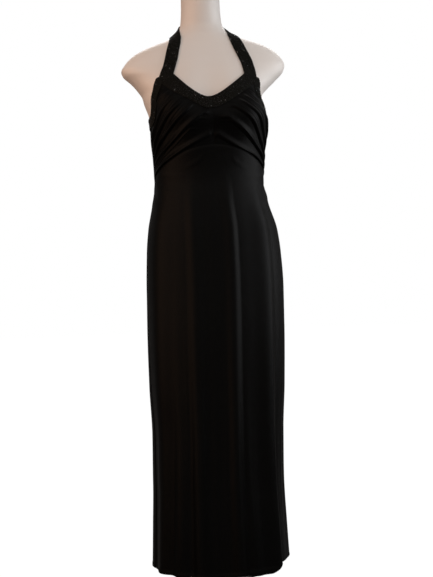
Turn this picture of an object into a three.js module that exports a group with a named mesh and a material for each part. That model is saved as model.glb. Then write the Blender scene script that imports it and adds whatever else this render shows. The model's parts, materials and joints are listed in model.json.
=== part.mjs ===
// A black halter-neck maxi dress, worn by a limbless display form on a pole and a round base.
// Millimetres, +Z up, the front faces -Y, and the origin is the centre of the base's underside.
// Every cloth point is given by an angle round the body and a height: angle 0 is the centre
// front, 90 the wearer's left side seam, 180 the centre back and -90 the right side seam.
import * as THREE from "three";

// Driving sizes of the dress
const CLOTH = 1.5; // wall of the jersey
const TRIM_PROUD = 0.6; // the beaded trim stands this far above the jersey
const SEAM = 0.3; // gap between two pieces at a seam
const EASE = 3.4; // from the form to the outside of the jersey where it fits closely
const HEM_Z = 12; // mean height of the hem above the floor
const NECK_TRIM = 31.5; // width of the trim along the neckline
const ARM_TRIM = 25; // width of the trim along the armholes and the back
const V_Z = 1207; // lowest point of the neckline
const V_X = -10.5; // its place across: the dress hangs a little askew on the form
const V_ROUNDING = { edge: 30, lower: 38 }; // roundness of the trim's two edges there
const SEAM_FOOT_ANGLE = -3.5; // where the centre front seam meets the seam under the bust
const SIDE_TOP_Z = 1172; // top of the side seam
const BACK_TOP_Z = 1100; // top of the dress at the centre back
const BACK_DIP = 1.8; // above 1 the back edge is flatter in its middle
const UNDERBUST = { centre: 1090, side: 1015 }; // height of the seam under the drape
const SIDE_SEAM = 90; // angle of the side seam, in degrees

// Corners where strap, trims and drape meet, seen from the front: x outwards, z up
const STRAP_INNER = { x: 91.5, z: 1272 };
const TRIM_CORNER = { x: 116.5, z: 1246 };
const STRAP_OUTER = { x: 126.5, z: 1265 };
const ARM_CORNER = { x: 133, z: 1262.5 };
const ARM_BEND = 4; // how deep the armhole is scooped

// Driving sizes of the form and its stand
const FORM_BOTTOM_Z = 790;
const NECK_TOP_Z = 1506;
const BASE = { radius: 135, thickness: 8, edge: 1.5 };
const POLE_RADIUS = 16;
const COLLAR = { foot: 38, top: 21, height: 30, rim: 4, slope: 9, bore: POLE_RADIUS + SEAM };
const SOCKET = { flange: 55, sleeve: 22, flangeHeight: 6, height: 46, depth: 34 };

// The neck's cap: height above its underside, and width as a share of the neck's
const CAP_RINGS = [
  { height: 0, width: 1.024 },
  { height: 4, width: 1.024 },
  { height: 7.3, width: 0.9 },
  { height: 9, width: 0.6 },
];

// Half width, front depth, back depth and squareness of the form at each height
const FORM_SECTIONS = [
  { z: 790, side: 158, front: 98, back: 110, square: 2.2 },
  { z: 860, side: 161, front: 104, back: 119, square: 2.2 },
  { z: 920, side: 150, front: 102, back: 104, square: 2.2 },
  { z: 1000, side: 129, front: 92, back: 84, square: 2.2 },
  { z: 1060, side: 135, front: 98, back: 90, square: 2.3 },
  { z: 1120, side: 146, front: 106, back: 98, square: 2.4 },
  { z: 1165, side: 147.5, front: 111, back: 102, square: 2.4 },
  { z: 1205, side: 151, front: 104, back: 105, square: 2.5 },
  { z: 1228, side: 155.5, front: 99, back: 105, square: 2.5 },
  { z: 1249, side: 171, front: 93, back: 103, square: 2.5 },
  { z: 1270, side: 192, front: 86, back: 100, square: 2.4 },
  { z: 1290, side: 212, front: 79, back: 96, square: 2.4 },
  { z: 1303, side: 216, front: 75, back: 93, square: 2.4 },
  { z: 1322, side: 206, front: 68, back: 88, square: 2.4 },
  { z: 1343, side: 184, front: 61, back: 80, square: 2.3 },
  { z: 1356, side: 159, front: 57, back: 74, square: 2.3 },
  { z: 1367, side: 130, front: 54, back: 70, square: 2.2 },
  { z: 1377, side: 97.5, front: 52, back: 66, square: 2.2 },
  { z: 1390, side: 74, front: 50, back: 60, square: 2.1 },
  { z: 1408, side: 58, front: 50, back: 52, square: 2 },
  { z: 1425, side: 53.5, front: 52, back: 46, square: 2 },
  { z: 1460, side: 51, front: 56, back: 41, square: 2 },
  { z: 1515, side: 50, front: 60, back: 38, square: 2 },
];

// The same for the dress below the bust, where it hangs clear of the form
const SKIRT_SECTIONS = [
  { z: 0, side: 176.8, front: 148, back: 151, square: 2.1 },
  { z: 100, side: 172.8, front: 143, back: 147, square: 2.1 },
  { z: 224, side: 169, front: 136, back: 141, square: 2.1 },
  { z: 350, side: 170, front: 131, back: 137, square: 2.1 },
  { z: 476, side: 176.5, front: 127, back: 134, square: 2.15 },
  { z: 633, side: 179.7, front: 124, back: 133, square: 2.2 },
  { z: 727, side: 179.7, front: 121, back: 133, square: 2.2 },
  { z: 822, side: 175.7, front: 118, back: 131, square: 2.2 },
  { z: 884, side: 168.5, front: 116, back: 127, square: 2.2 },
  { z: 947, side: 152.8, front: 112, back: 114, square: 2.2 },
  { z: 1005, side: 143.5, front: 107, back: 100, square: 2.2 },
  { z: 1073, side: 145.5, front: 110, back: 99, square: 2.3 },
];
const DRESS_SECTIONS = [
  ...SKIRT_SECTIONS,
  ...FORM_SECTIONS.filter((row) => row.z > 1100).map((row) => ({
    ...row,
    side: row.side + EASE,
    front: row.front + EASE,
    back: row.back + EASE,
  })),
];

// The pose of the figure: its hips stand a little to the wearer's left, and that shoulder is
// a little higher
const SWAY = [
  { z: 0, shift: 1.5 },
  { z: 224, shift: 2.5 },
  { z: 350, shift: 5.3 },
  { z: 476, shift: 7.3 },
  { z: 633, shift: 10 },
  { z: 760, shift: 12 },
  { z: 870, shift: 11 },
  { z: 960, shift: 6.5 },
  { z: 1090, shift: 6 },
  { z: 1155, shift: 7.5 },
  { z: 1185, shift: 3 },
  { z: 1220, shift: -4 },
  { z: 1262, shift: 0 },
  { z: 1300, shift: 3 },
  { z: 1345, shift: 1 },
  { z: 1430, shift: 0 },
];
const SHOULDER_TILT = { degrees: 3.1, from: 1255, full: 1330, fade: 1370, level: 1430 };

// The bust: two rounded forms, bridged by the cloth between them
const BUST = { z: 1163, angle: 33, height: 34, spread: 20, above: 62, below: 44 };
const FORM_CLEFT = 0.62;
const DRESS_CLEFT = 0.35;

// Flutes of the skirt: angle at the hip and at the hem, half width, depth at the hem and at the
// hip, height where it starts, and skew, which makes one flank steeper
const FLUTES = [
  { hip: -67, hem: -71, half: 15, depth: 11, hipDepth: 4.5, start: 1010, skew: 0.1 },
  { hip: -48, hem: -50, half: 11, depth: 8, hipDepth: 0, start: 600, skew: 0 },
  { hip: -30, hem: -27, half: 12, depth: 12, hipDepth: 5, start: 1030, skew: -0.2 },
  { hip: 10, hem: 6, half: 12, depth: 12, hipDepth: 6, start: 1040, skew: 0.2 },
  { hip: 27, hem: 27, half: 9, depth: 5, hipDepth: 0, start: 330, skew: 0 },
  { hip: 46, hem: 44, half: 15, depth: 16, hipDepth: 6, start: 1020, skew: 0.3 },
  { hip: 84, hem: 88, half: 17, depth: 9, hipDepth: 0.7, start: 920, skew: 0 },
  { hip: 112, hem: 117, half: 16, depth: 12, hipDepth: 3, start: 960, skew: -0.1 },
  { hip: 147, hem: 141, half: 15, depth: 14, hipDepth: 5, start: 1000, skew: 0.2 },
  { hip: 164, hem: 164, half: 11, depth: 8, hipDepth: 0, start: 560, skew: 0 },
  { hip: 181, hem: 186, half: 14, depth: 13, hipDepth: 5.5, start: 1010, skew: 0 },
  { hip: 213, hem: 208, half: 15, depth: 14, hipDepth: 5, start: 990, skew: -0.2 },
  { hip: 232, hem: 235, half: 12, depth: 9, hipDepth: 0, start: 540, skew: 0 },
  { hip: 252, hem: 258, half: 18, depth: 11, hipDepth: 1.5, start: 940, skew: 0.1 },
];
const HIP_Z = 870; // height of the hip depths
const FLUTE_TROUGH = { depth: 5, from: 900 }; // how far the cloth between them falls inwards

// Height of the hem round the skirt: it is uneven, as a soft hem hangs
const HEM = [
  { angle: -90, z: 10 },
  { angle: -62, z: 13 },
  { angle: -48, z: 11.5 },
  { angle: -38, z: 16 },
  { angle: -30, z: 20 },
  { angle: -22, z: 16 },
  { angle: -10, z: 13 },
  { angle: 3, z: 16 },
  { angle: 17, z: 10 },
  { angle: 30, z: 6 },
  { angle: 40, z: 5 },
  { angle: 46, z: 12 },
  { angle: 52, z: 23 },
  { angle: 62, z: 20 },
  { angle: 78, z: 19 },
  { angle: 98, z: 21 },
  { angle: 135, z: 12 },
  { angle: 180, z: 14 },
  { angle: 225, z: 11.5 },
  { angle: 270, z: 10 },
];

// Folds of the drape on each half of the bodice. Each starts at an angle and a height by the
// centre front or the neckline trim and falls to a height on the side seam. The half widths
// are measured up and down, at the start and at the side seam.
const DRAPE_LEFT = [
  { angle: 4, z: 1118, side: 1021, startHalf: 15, sideHalf: 6, height: 4.5 },
  { angle: 12, z: 1160, side: 1031, startHalf: 14, sideHalf: 6, height: 5.5 },
  { angle: 19, z: 1186, side: 1045, startHalf: 13, sideHalf: 8, height: 6 },
  { angle: 27, z: 1200, side: 1066, startHalf: 12, sideHalf: 10, height: 5.5 },
  { angle: 36, z: 1214, side: 1094, startHalf: 11, sideHalf: 12, height: 5 },
  { angle: 44, z: 1230, side: 1128, startHalf: 10, sideHalf: 12, height: 4.5 },
];
const DRAPE_RIGHT = [
  { angle: 5, z: 1124, side: 1025, startHalf: 14, sideHalf: 7, height: 4.8 },
  { angle: 14, z: 1168, side: 1038, startHalf: 13, sideHalf: 7, height: 5.4 },
  { angle: 22, z: 1190, side: 1053, startHalf: 12, sideHalf: 8, height: 6 },
  { angle: 30, z: 1203, side: 1073, startHalf: 12, sideHalf: 10, height: 5.4 },
  { angle: 37, z: 1215, side: 1100, startHalf: 10, sideHalf: 12, height: 5 },
  { angle: 45, z: 1231, side: 1132, startHalf: 10, sideHalf: 12, height: 4 },
];
const FOLD_SAG = 1.1; // above 1 a fold falls faster near its start
const FOLD_SKEW = -0.25; // the folds' lower flank is the steeper one
const FOLD_BIRTH = { before: 14, after: 2 }; // degrees over which a fold rises at its start
// Share of its height that a fold keeps at its start and at the side seam, and the share of
// the way up to which and from which it is pressed
const FOLD_PRESS = { start: 0.45, upTo: 0.25, side: 0.3, from: 0.6 };

// Middle line of the halter strap on the form, from the bodice to the nape
const STRAP_LINE = [
  { x: 110, z: 1266, width: 35 },
  { x: 106.4, z: 1284, width: 33 },
  { x: 102.2, z: 1301, width: 32 },
  { x: 94.8, z: 1321, width: 32 },
  { x: 88.4, z: 1338, width: 31.5 },
  { x: 81.5, z: 1358, width: 31 },
  { angle: 62, z: 1373, width: 30 },
  { angle: 71, z: 1384, width: 29.5 },
  { angle: 87, z: 1395, width: 29 },
  { angle: 111, z: 1405, width: 28.5 },
  { angle: 138, z: 1412, width: 28 },
  { angle: 160, z: 1415, width: 28 },
  { angle: 180, z: 1416, width: 28 },
];
const STRAP_LIFT = { chest: 1.3, nape: 0.6 }; // from the form to the strap's underside

const rad = THREE.MathUtils.degToRad;
const lerp = THREE.MathUtils.lerp;
const smooth = THREE.MathUtils.smoothstep;

// Value of one column of a table at a place, by a cubic that never overshoots its rows
function column(table, key, name, at) {
  const last = table.length - 1;
  const place = THREE.MathUtils.clamp(at, table[0][key], table[last][key]);
  let i = 0;
  while (i < last - 1 && place > table[i + 1][key]) i += 1;
  const slope = (k) => (table[k + 1][name] - table[k][name]) / (table[k + 1][key] - table[k][key]);
  const tangent = (k) => {
    if (k === 0) return slope(0);
    if (k === last) return slope(last - 1);
    const before = slope(k - 1);
    const after = slope(k);
    return before * after <= 0 ? 0 : (2 * before * after) / (before + after);
  };
  const step = table[i + 1][key] - table[i][key];
  const t = (place - table[i][key]) / step;
  return (
    table[i][name] * (1 + 2 * t) * (1 - t) ** 2 +
    step * tangent(i) * t * (1 - t) ** 2 +
    table[i + 1][name] * t * t * (3 - 2 * t) +
    step * tangent(i + 1) * t * t * (t - 1)
  );
}

// Radius of a rounded oblong section, whose front and back depths differ
function sectionRadius(table, angle, z) {
  const across = Math.abs(Math.sin(rad(angle)));
  const forward = Math.cos(rad(angle));
  const depth = column(table, "z", forward > 0 ? "front" : "back", z);
  const side = column(table, "z", "side", z);
  const power = column(table, "z", "square", z);
  return ((across / side) ** power + (Math.abs(forward) / depth) ** power) ** (-1 / power);
}

function bustHeight(angle, z, cleft) {
  const off = Math.abs(wrap(angle));
  const reach = z > BUST.z ? BUST.above : BUST.below;
  const fall = Math.exp(-((z - BUST.z) ** 2) / (2 * reach ** 2));
  const inside = 1 - cleft * (1 - (off / BUST.angle) ** 2) ** 2;
  const outside = Math.exp(-((off - BUST.angle) ** 2) / (2 * BUST.spread ** 2));
  return BUST.height * fall * (off < BUST.angle ? inside : outside);
}

function wrap(angle) {
  return ((((angle + 180) % 360) + 360) % 360) - 180;
}

// A rounded ridge, 1 high at 0 and flat at -1 and 1, with its top pushed to one side
function ridge(t, skew = 0) {
  if (Math.abs(t) >= 1) return 0;
  const pushed = t - skew * (1 - t * t);
  return Math.cos((Math.PI / 2) * pushed) ** 2;
}

function fluteDepth(angle, z) {
  let depth = 0;
  for (const flute of FLUTES) {
    const upper = flute.hipDepth * (1 - smooth(z, HIP_Z, flute.start));
    const lower = 1 - smooth(z, HEM_Z, Math.min(flute.start, HIP_Z));
    const tall = upper + (flute.depth - flute.hipDepth) * lower;
    const centre = lerp(flute.hip, flute.hem, THREE.MathUtils.clamp(1 - z / HIP_Z, 0, 1));
    depth += tall * ridge(wrap(angle - centre) / flute.half, flute.skew);
  }
  return depth - FLUTE_TROUGH.depth * (1 - smooth(z, HEM_Z, FLUTE_TROUGH.from));
}

function surfacePoint(radius, angle, z) {
  const x = radius * Math.sin(rad(angle));
  const { degrees, from, full, fade, level } = SHOULDER_TILT;
  const lift = x * Math.tan(rad(degrees)) * smooth(z, from, full) * (1 - smooth(z, fade, level));
  const y = -radius * Math.cos(rad(angle));
  return new THREE.Vector3(x + column(SWAY, "z", "shift", z), y, z + lift);
}

// The form's skin, and the outside of the dress with its flutes but without the drape
const formSkin = (angle, z) =>
  surfacePoint(
    sectionRadius(FORM_SECTIONS, angle, z) + bustHeight(angle, z, FORM_CLEFT),
    angle,
    z,
  );
const dressSkin = (angle, z) =>
  surfacePoint(
    sectionRadius(DRESS_SECTIONS, angle, z) +
      bustHeight(angle, z, DRESS_CLEFT) +
      fluteDepth(angle, z),
    angle,
    z,
  );

function normalOf(skin, angle, z) {
  const turn = 0.4;
  const rise = 0.8;
  const around = skin(angle + turn, z).sub(skin(angle - turn, z));
  const up = skin(angle, z + rise).sub(skin(angle, z - rise));
  return around.cross(up).normalize();
}

// A point of a skin, moved out along its normal
const raised = (skin, angle, z, out) =>
  skin(angle, z).addScaledVector(normalOf(skin, angle, z), out);

// The angle at which a skin has a given x at a given height, on its front
function frontAngle({ x, z }, skin = dressSkin) {
  let low = -SIDE_SEAM / 4;
  let high = SIDE_SEAM;
  for (let i = 0; i < 40; i += 1) {
    const middle = (low + high) / 2;
    if (skin(middle, z).x < x) low = middle;
    else high = middle;
  }
  return low;
}

const along = (from, to, t) => ({ angle: lerp(from.angle, to.angle, t), z: lerp(from.z, to.z, t) });
const spread = (count) => Array.from({ length: count + 1 }, (_, i) => i / count);

// Seam lines, each as a function of a share from 0 to 1
const corner = (point) => ({ angle: frontAngle(point), z: point.z });
const strapInner = corner(STRAP_INNER);
const strapOuter = corner(STRAP_OUTER);
const trimCorner = corner(TRIM_CORNER);
const armCorner = corner(ARM_CORNER);

// A line that rises from the neckline's lowest point and is rounded where it crosses it. Lines of
// the wearer's right half (hand -1) are drawn towards positive angles too, and mirrored later.
function roundedRise(t, end, bottom, roundness, hand) {
  const run = end.x * t;
  const rise = Math.hypot(run, roundness) - roundness;
  const whole = Math.hypot(end.x, roundness) - roundness;
  const z = bottom + ((end.z - bottom) * rise) / whole;
  const shift = column(SWAY, "z", "shift", z);
  return corner({ x: lerp(shift + hand * (V_X - shift), end.x, t), z });
}
const neckEdge = (t, hand) => roundedRise(t, STRAP_INNER, V_Z, V_ROUNDING.edge, hand);
const neckLower = (t, hand) =>
  roundedRise(t, TRIM_CORNER, V_Z - NECK_TRIM, V_ROUNDING.lower, hand);

function armCurve(t, from, end) {
  return {
    angle: lerp(from.angle, SIDE_SEAM, t),
    z: end + (from.z - end) * (1 - t) ** ARM_BEND,
  };
}
const armEdge = (t) => armCurve(t, armCorner, SIDE_TOP_Z);
const armInner = (t) => armCurve(t, trimCorner, SIDE_TOP_Z - ARM_TRIM);
const backEdgeZ = (angle) =>
  BACK_TOP_Z + (SIDE_TOP_Z - BACK_TOP_Z) * Math.abs(Math.sin(rad(angle))) ** BACK_DIP;
const underbustZ = (angle) =>
  UNDERBUST.side + (UNDERBUST.centre - UNDERBUST.side) * Math.cos(rad(angle));

// One closed wall from two grids of points, rows upwards and columns towards larger angles
function wall(outer, inner) {
  const rows = outer.length;
  const cols = outer[0].length;
  const points = [...outer.flat(), ...inner.flat()];
  const at = (i, j, layer) => layer * rows * cols + i * cols + j;
  const faces = [];
  const quad = (a, b, c, d) => faces.push(a, b, c, a, c, d);
  for (let i = 0; i < rows - 1; i += 1) {
    for (let j = 0; j < cols - 1; j += 1) {
      quad(at(i, j, 0), at(i, j + 1, 0), at(i + 1, j + 1, 0), at(i + 1, j, 0));
      quad(at(i, j, 1), at(i + 1, j, 1), at(i + 1, j + 1, 1), at(i, j + 1, 1));
    }
  }
  for (let j = 0; j < cols - 1; j += 1) {
    quad(at(0, j, 1), at(0, j + 1, 1), at(0, j + 1, 0), at(0, j, 0));
    quad(at(rows - 1, j, 0), at(rows - 1, j + 1, 0), at(rows - 1, j + 1, 1), at(rows - 1, j, 1));
  }
  for (let i = 0; i < rows - 1; i += 1) {
    quad(at(i, 0, 0), at(i + 1, 0, 0), at(i + 1, 0, 1), at(i, 0, 1));
    quad(at(i, cols - 1, 0), at(i, cols - 1, 1), at(i + 1, cols - 1, 1), at(i + 1, cols - 1, 0));
  }
  return solid(points, faces);
}

function solid(points, faces) {
  const geometry = new THREE.BufferGeometry();
  const numbers = points.flatMap((point) => point.toArray());
  geometry.setAttribute("position", new THREE.Float32BufferAttribute(numbers, 3));
  geometry.setIndex(faces);
  geometry.computeVertexNormals();
  return geometry;
}

// A stack of closed rings with a flat cap at each end
function ringStack(rings) {
  const count = rings[0].length;
  const points = rings.flat();
  const faces = [];
  for (let i = 0; i < rings.length - 1; i += 1) {
    for (let j = 0; j < count; j += 1) {
      const next = (j + 1) % count;
      const [a, b] = [i * count + j, i * count + next];
      faces.push(a, b, b + count, a, b + count, a + count);
    }
  }
  for (const [row, top] of [[0, false], [rings.length - 1, true]]) {
    const centre = rings[row].reduce((sum, p) => sum.add(p), new THREE.Vector3());
    points.push(centre.divideScalar(count));
    for (let j = 0; j < count; j += 1) {
      const [a, b] = [row * count + j, row * count + ((j + 1) % count)];
      faces.push(...(top ? [a, b] : [b, a]), points.length - 1);
    }
  }
  return solid(points, faces);
}

// Turned pieces of the stand: a profile of [radius, height] round the vertical axis
function turned(profile, segments = 40) {
  const points = profile.map(([radius, height]) => new THREE.Vector2(radius, height));
  return new THREE.LatheGeometry(points, segments).rotateX(Math.PI / 2);
}

// A piece of cloth from a grid of places: rows of {angle, z, out}, thickness measured inwards
function clothPiece(grid, thickness) {
  const lift = (place, out) => raised(dressSkin, place.angle, place.z, out);
  return wall(
    grid.map((row) => row.map((place) => lift(place, place.out))),
    grid.map((row) => row.map((place) => lift(place, place.out - thickness))),
  );
}

// Mirrors a grid of places to the wearer's right side, keeping the columns' order
const mirrored = (grid) =>
  grid.map((row) => row.map((place) => ({ ...place, angle: -place.angle })).reverse());

// Half a seam's gap at a place, in degrees
function seamAngle(angle, z) {
  const radius = dressSkin(angle, z).setZ(0).length();
  return THREE.MathUtils.radToDeg(SEAM / 2 / radius);
}

const SKIRT_COLUMNS = 36;
const SKIRT_ROWS = 15; // from the hem to the waist, shared by front and back
const WAIST_Z = 1000;

// A long panel between two side seams, from the hem to its top edge
function longPanel(firstAngle, lastAngle, topZ, rowsAbove) {
  const hemZ = (angle) => column(HEM, "angle", "z", angle);
  const place = (share, heightOf) => {
    const nominal = lerp(firstAngle, lastAngle, share);
    const z = heightOf(nominal);
    const gap = seamAngle(nominal, z);
    return { angle: lerp(firstAngle + gap, lastAngle - gap, share), z, out: 0 };
  };
  const columns = spread(SKIRT_COLUMNS);
  const below = spread(SKIRT_ROWS).map((v) =>
    columns.map((u) => place(u, (angle) => lerp(hemZ(angle), WAIST_Z, v))),
  );
  const above = spread(rowsAbove).slice(1).map((v) =>
    columns.map((u) => place(u, (angle) => lerp(WAIST_Z, topZ(angle), v))),
  );
  return clothPiece([...below, ...above], CLOTH);
}

// Height of the drape's folds at a place; share is 0 at the centre front and neckline trim
// and 1 at the side seam, and the folds are pressed flatter towards both
function drapeHeight(folds, { angle, z }, share) {
  const { start, upTo, side, from } = FOLD_PRESS;
  const pressed = lerp(start, 1, smooth(share, 0, upTo)) * lerp(1, side, smooth(share, from, 1));
  let height = 0;
  for (const fold of folds) {
    const run = THREE.MathUtils.clamp((angle - fold.angle) / (SIDE_SEAM - fold.angle), 0, 1);
    const centre = fold.side + (fold.z - fold.side) * (1 - run) ** FOLD_SAG;
    const half = lerp(fold.startHalf, fold.sideHalf, run);
    const { before, after } = FOLD_BIRTH;
    const born = smooth(angle, fold.angle - before, fold.angle + after);
    height += fold.height * born * ridge((z - centre) / half, FOLD_SKEW);
  }
  return height * pressed;
}

const DRAPE_COLUMNS = 14;
const DRAPE_ROWS = 26;
const CENTRE_ROWS = 10; // rows of the patch beside the centre front, below the neckline trim

// Half of the draped bodice: a patch between the centre front and neckline trim, the armhole
// trim, the side seam and the seam under the bust
function drapeGrid(folds, hand) {
  const bendShare = CENTRE_ROWS / DRAPE_ROWS;
  const seamFoot = { angle: hand * SEAM_FOOT_ANGLE, z: underbustZ(SEAM_FOOT_ANGLE) };
  const seamTop = neckLower(0, hand);
  const left = (q) =>
    q < bendShare
      ? along(seamFoot, seamTop, q / bendShare)
      : neckLower((q - bendShare) / (1 - bendShare), hand);
  const gathered = (q) => 0.4 * q + 0.6 * q * q; // rows lie closer together low on the side seam
  const right = (q) => ({
    angle: SIDE_SEAM,
    z: lerp(UNDERBUST.side, armInner(1).z, gathered(q)),
  });
  const bottom = (p) => {
    const angle = lerp(seamFoot.angle, SIDE_SEAM, p);
    return { angle, z: underbustZ(angle) };
  };
  const top = armInner;
  const mix = (p, q, key) =>
    lerp(left(q)[key], right(q)[key], p) +
    lerp(bottom(p)[key], top(p)[key], q) -
    lerp(
      lerp(left(0)[key], right(0)[key], p),
      lerp(left(1)[key], right(1)[key], p),
      q,
    );
  return spread(DRAPE_ROWS).map((q) =>
    spread(DRAPE_COLUMNS).map((p) => {
      const place = { angle: mix(p, q, "angle"), z: mix(p, q, "z") };
      const gap = seamAngle(SIDE_SEAM * p, place.z) * (1 - 2 * p);
      return {
        angle: place.angle + gap,
        z: place.z + lerp(SEAM * 0.6, -SEAM * 1.9, q),
        out: drapeHeight(folds, place, p),
      };
    }),
  );
}

// A strip of trim between a lower and an upper line, both functions of a share from 0 to 1
function trimGrid(lower, upper, lengthSteps, widthSteps) {
  return spread(widthSteps).map((w) =>
    spread(lengthSteps).map((t) => ({ ...along(lower(t), upper(t), w), out: TRIM_PROUD })),
  );
}

function neckTrimGrid(hand) {
  const steps = DRAPE_ROWS - CENTRE_ROWS;
  const lower = (t) => neckLower(t, hand);
  const upper = (t) => neckEdge(t, hand);
  return trimGrid(lower, upper, steps, 3).map((row) =>
    row.map((place, j) => ({
      ...place,
      angle: place.angle + seamAngle(0, place.z) * (1 - (2 * j) / steps),
    })),
  );
}

// The armhole trim's upper end follows the strap's mitred end, then steps out to its own corner
const STRAP_SHARE = 0.75; // share of its width that the strap covers
const CORNER_GAPS = 3; // its gap to the drape at that end, in half seams
function armTrimGrid() {
  const across = 4;
  const start = (w) =>
    w <= STRAP_SHARE
      ? along(trimCorner, strapOuter, w / STRAP_SHARE)
      : along(strapOuter, armCorner, (w - STRAP_SHARE) / (1 - STRAP_SHARE));
  const steps = DRAPE_COLUMNS;
  return spread(across).map((w) =>
    spread(steps).map((t) => {
      const ruled = along(armInner(t), armEdge(t), w);
      const atStart = along(armInner(0), armEdge(0), w);
      const fade = (1 - t) ** 3;
      const gap = seamAngle(SIDE_SEAM, ruled.z) * lerp(CORNER_GAPS, -1, t);
      return {
        angle: ruled.angle + (start(w).angle - atStart.angle) * fade + gap,
        z: ruled.z + (start(w).z - atStart.z) * fade,
        out: TRIM_PROUD,
      };
    }),
  );
}

function backTrimGrid() {
  const steps = 30;
  return spread(3).map((w) =>
    spread(steps).map((t) => {
      const nominal = lerp(SIDE_SEAM, 360 - SIDE_SEAM, t);
      const z = backEdgeZ(nominal) - ARM_TRIM * (1 - w);
      const gap = seamAngle(nominal, z) * (1 - 2 * t);
      return { angle: nominal + gap, z, out: TRIM_PROUD };
    }),
  );
}

// The place on the form's skin nearest to a point, found by a few Newton steps
function nearestOnForm(point, guess) {
  const place = { ...guess };
  const turn = 0.3;
  const rise = 0.6;
  for (let i = 0; i < 8; i += 1) {
    const here = formSkin(place.angle, place.z);
    const byAngle = formSkin(place.angle + turn, place.z).sub(here).divideScalar(turn);
    const byZ = formSkin(place.angle, place.z + rise).sub(here).divideScalar(rise);
    const off = point.clone().sub(here);
    const [aa, ab, bb] = [byAngle.dot(byAngle), byAngle.dot(byZ), byZ.dot(byZ)];
    const [ra, rb] = [byAngle.dot(off), byZ.dot(off)];
    const whole = aa * bb - ab * ab;
    place.angle += (bb * ra - ab * rb) / whole;
    place.z += (aa * rb - ab * ra) / whole;
  }
  return place;
}

// Walks over the form's skin from a place, at right angles to the strap's line
function walkAcross(place, direction, distance) {
  const steps = 4;
  let here = { ...place };
  for (let i = 0; i < steps; i += 1) {
    const point = formSkin(here.angle, here.z).addScaledVector(direction, distance / steps);
    here = nearestOnForm(point, here);
  }
  return here;
}

const strapRows = STRAP_LINE.map((row, index) => ({
  ...row,
  angle: row.angle ?? frontAngle(row, formSkin),
  index,
}));

function strapLinePlace(t) {
  const read = (name) => column(strapRows, "index", name, t * (strapRows.length - 1));
  return { angle: read("angle"), z: read("z"), width: read("width") };
}

const NAPE_Z = STRAP_LINE[STRAP_LINE.length - 1].z;

// The strap's cut end, mitred at the corner of the drape: from its outer to its inner edge
const MITRE_SHARE = 0.25;
const mitre = (w) =>
  w <= MITRE_SHARE
    ? along(strapOuter, trimCorner, w / MITRE_SHARE)
    : along(trimCorner, strapInner, (w - MITRE_SHARE) / (1 - MITRE_SHARE));

// Half of the halter strap, from its mitred end on the bodice to the nape, on the wearer's
// left (hand 1) or right (hand -1)
function halterStrap(hand) {
  const lengthSteps = 34;
  const widthSteps = 4;
  const endShare = 0.12; // share of the length over which the slanted end turns square
  const columns = spread(lengthSteps).map((t) => {
    const middle = strapLinePlace(t);
    const ahead = strapLinePlace(Math.min(1, t + 0.01));
    const behind = strapLinePlace(Math.max(0, t - 0.01));
    const forward = formSkin(ahead.angle, ahead.z).sub(formSkin(behind.angle, behind.z));
    const out = normalOf(formSkin, middle.angle, middle.z);
    const across = out.clone().cross(forward).normalize();
    const slant = 1 - smooth(t, 0, endShare);
    const lift = lerp(STRAP_LIFT.chest, STRAP_LIFT.nape, smooth(t, 0.3, 0.7));
    return spread(widthSteps).map((w) => {
      const square = walkAcross(middle, across, middle.width * (w - 0.5));
      const end = mitre(w);
      const place = along(square, end, slant);
      const napeGap = seamAngle(180, NAPE_Z) * smooth(t, 0.9, 1);
      const angle = Math.min(place.angle, 180) - napeGap;
      const z = place.z + 1.5 * SEAM * slant;
      const onForm = (height) => raised(formSkin, hand * angle, z, height);
      const onDress = (height) => raised(dressSkin, hand * angle, z, height);
      return {
        outer: onForm(lift + CLOTH + TRIM_PROUD).lerp(onDress(TRIM_PROUD), slant),
        inner: onForm(lift).lerp(onDress(-CLOTH), slant),
      };
    });
  });
  const ordered = hand > 0 ? columns : columns.reverse();
  const layer = (name) => spread(widthSteps).map((_, j) => ordered.map((points) => points[j][name]));
  return wall(layer("outer"), layer("inner"));
}

function formRings() {
  const heights = [
    FORM_BOTTOM_Z, 812, 840, 875, 910, 950, 1000, 1050, 1090, 1125, 1150, 1175, 1200, 1222, 1240,
    1256, 1272, 1288, 1303, 1320, 1334, 1346, 1355, 1362, 1368, 1373, 1378, 1383, 1388, 1394, 1400,
    1407, 1415, 1424, 1436, 1455, NECK_TOP_Z,
  ];
  const around = 42;
  const crowding = 11; // degrees: the columns stand closer together at the shoulder ends
  const columnAngle = (j) => (j * 360) / around + crowding * Math.sin(rad((j * 720) / around));
  return heights.map((z) => Array.from({ length: around }, (_, j) => formSkin(columnAngle(j), z)));
}

// The plain disc that closes the neck, with a low dome
function neckCapRings() {
  const around = 32;
  const rim = (angle) => formSkin(angle, NECK_TOP_Z);
  const centre = rim(0).lerp(rim(180), 0.5);
  return CAP_RINGS.map(({ height, width }) =>
    Array.from({ length: around }, (_, j) =>
      rim((j * 360) / around)
        .sub(centre)
        .multiplyScalar(width)
        .add(centre)
        .setZ(NECK_TOP_Z + SEAM + height),
    ),
  );
}

function baseProfile() {
  const { radius, thickness, edge } = BASE;
  return [
    [0, 0],
    [radius, 0],
    [radius, thickness - edge],
    [radius - edge, thickness],
    [0, thickness],
  ];
}

function collarProfile() {
  const foot = BASE.thickness;
  return [
    [COLLAR.bore, foot],
    [COLLAR.foot, foot],
    [COLLAR.foot, foot + COLLAR.rim],
    [COLLAR.top, foot + COLLAR.slope],
    [COLLAR.top, foot + COLLAR.height],
    [COLLAR.bore, foot + COLLAR.height],
    [COLLAR.bore, foot],
  ];
}

const socketTop = FORM_BOTTOM_Z;
const poleTop = socketTop - SOCKET.height + SOCKET.depth - SEAM;

function poleProfile() {
  return [
    [0, BASE.thickness],
    [POLE_RADIUS, BASE.thickness],
    [POLE_RADIUS, poleTop],
    [0, poleTop],
  ];
}

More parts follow.
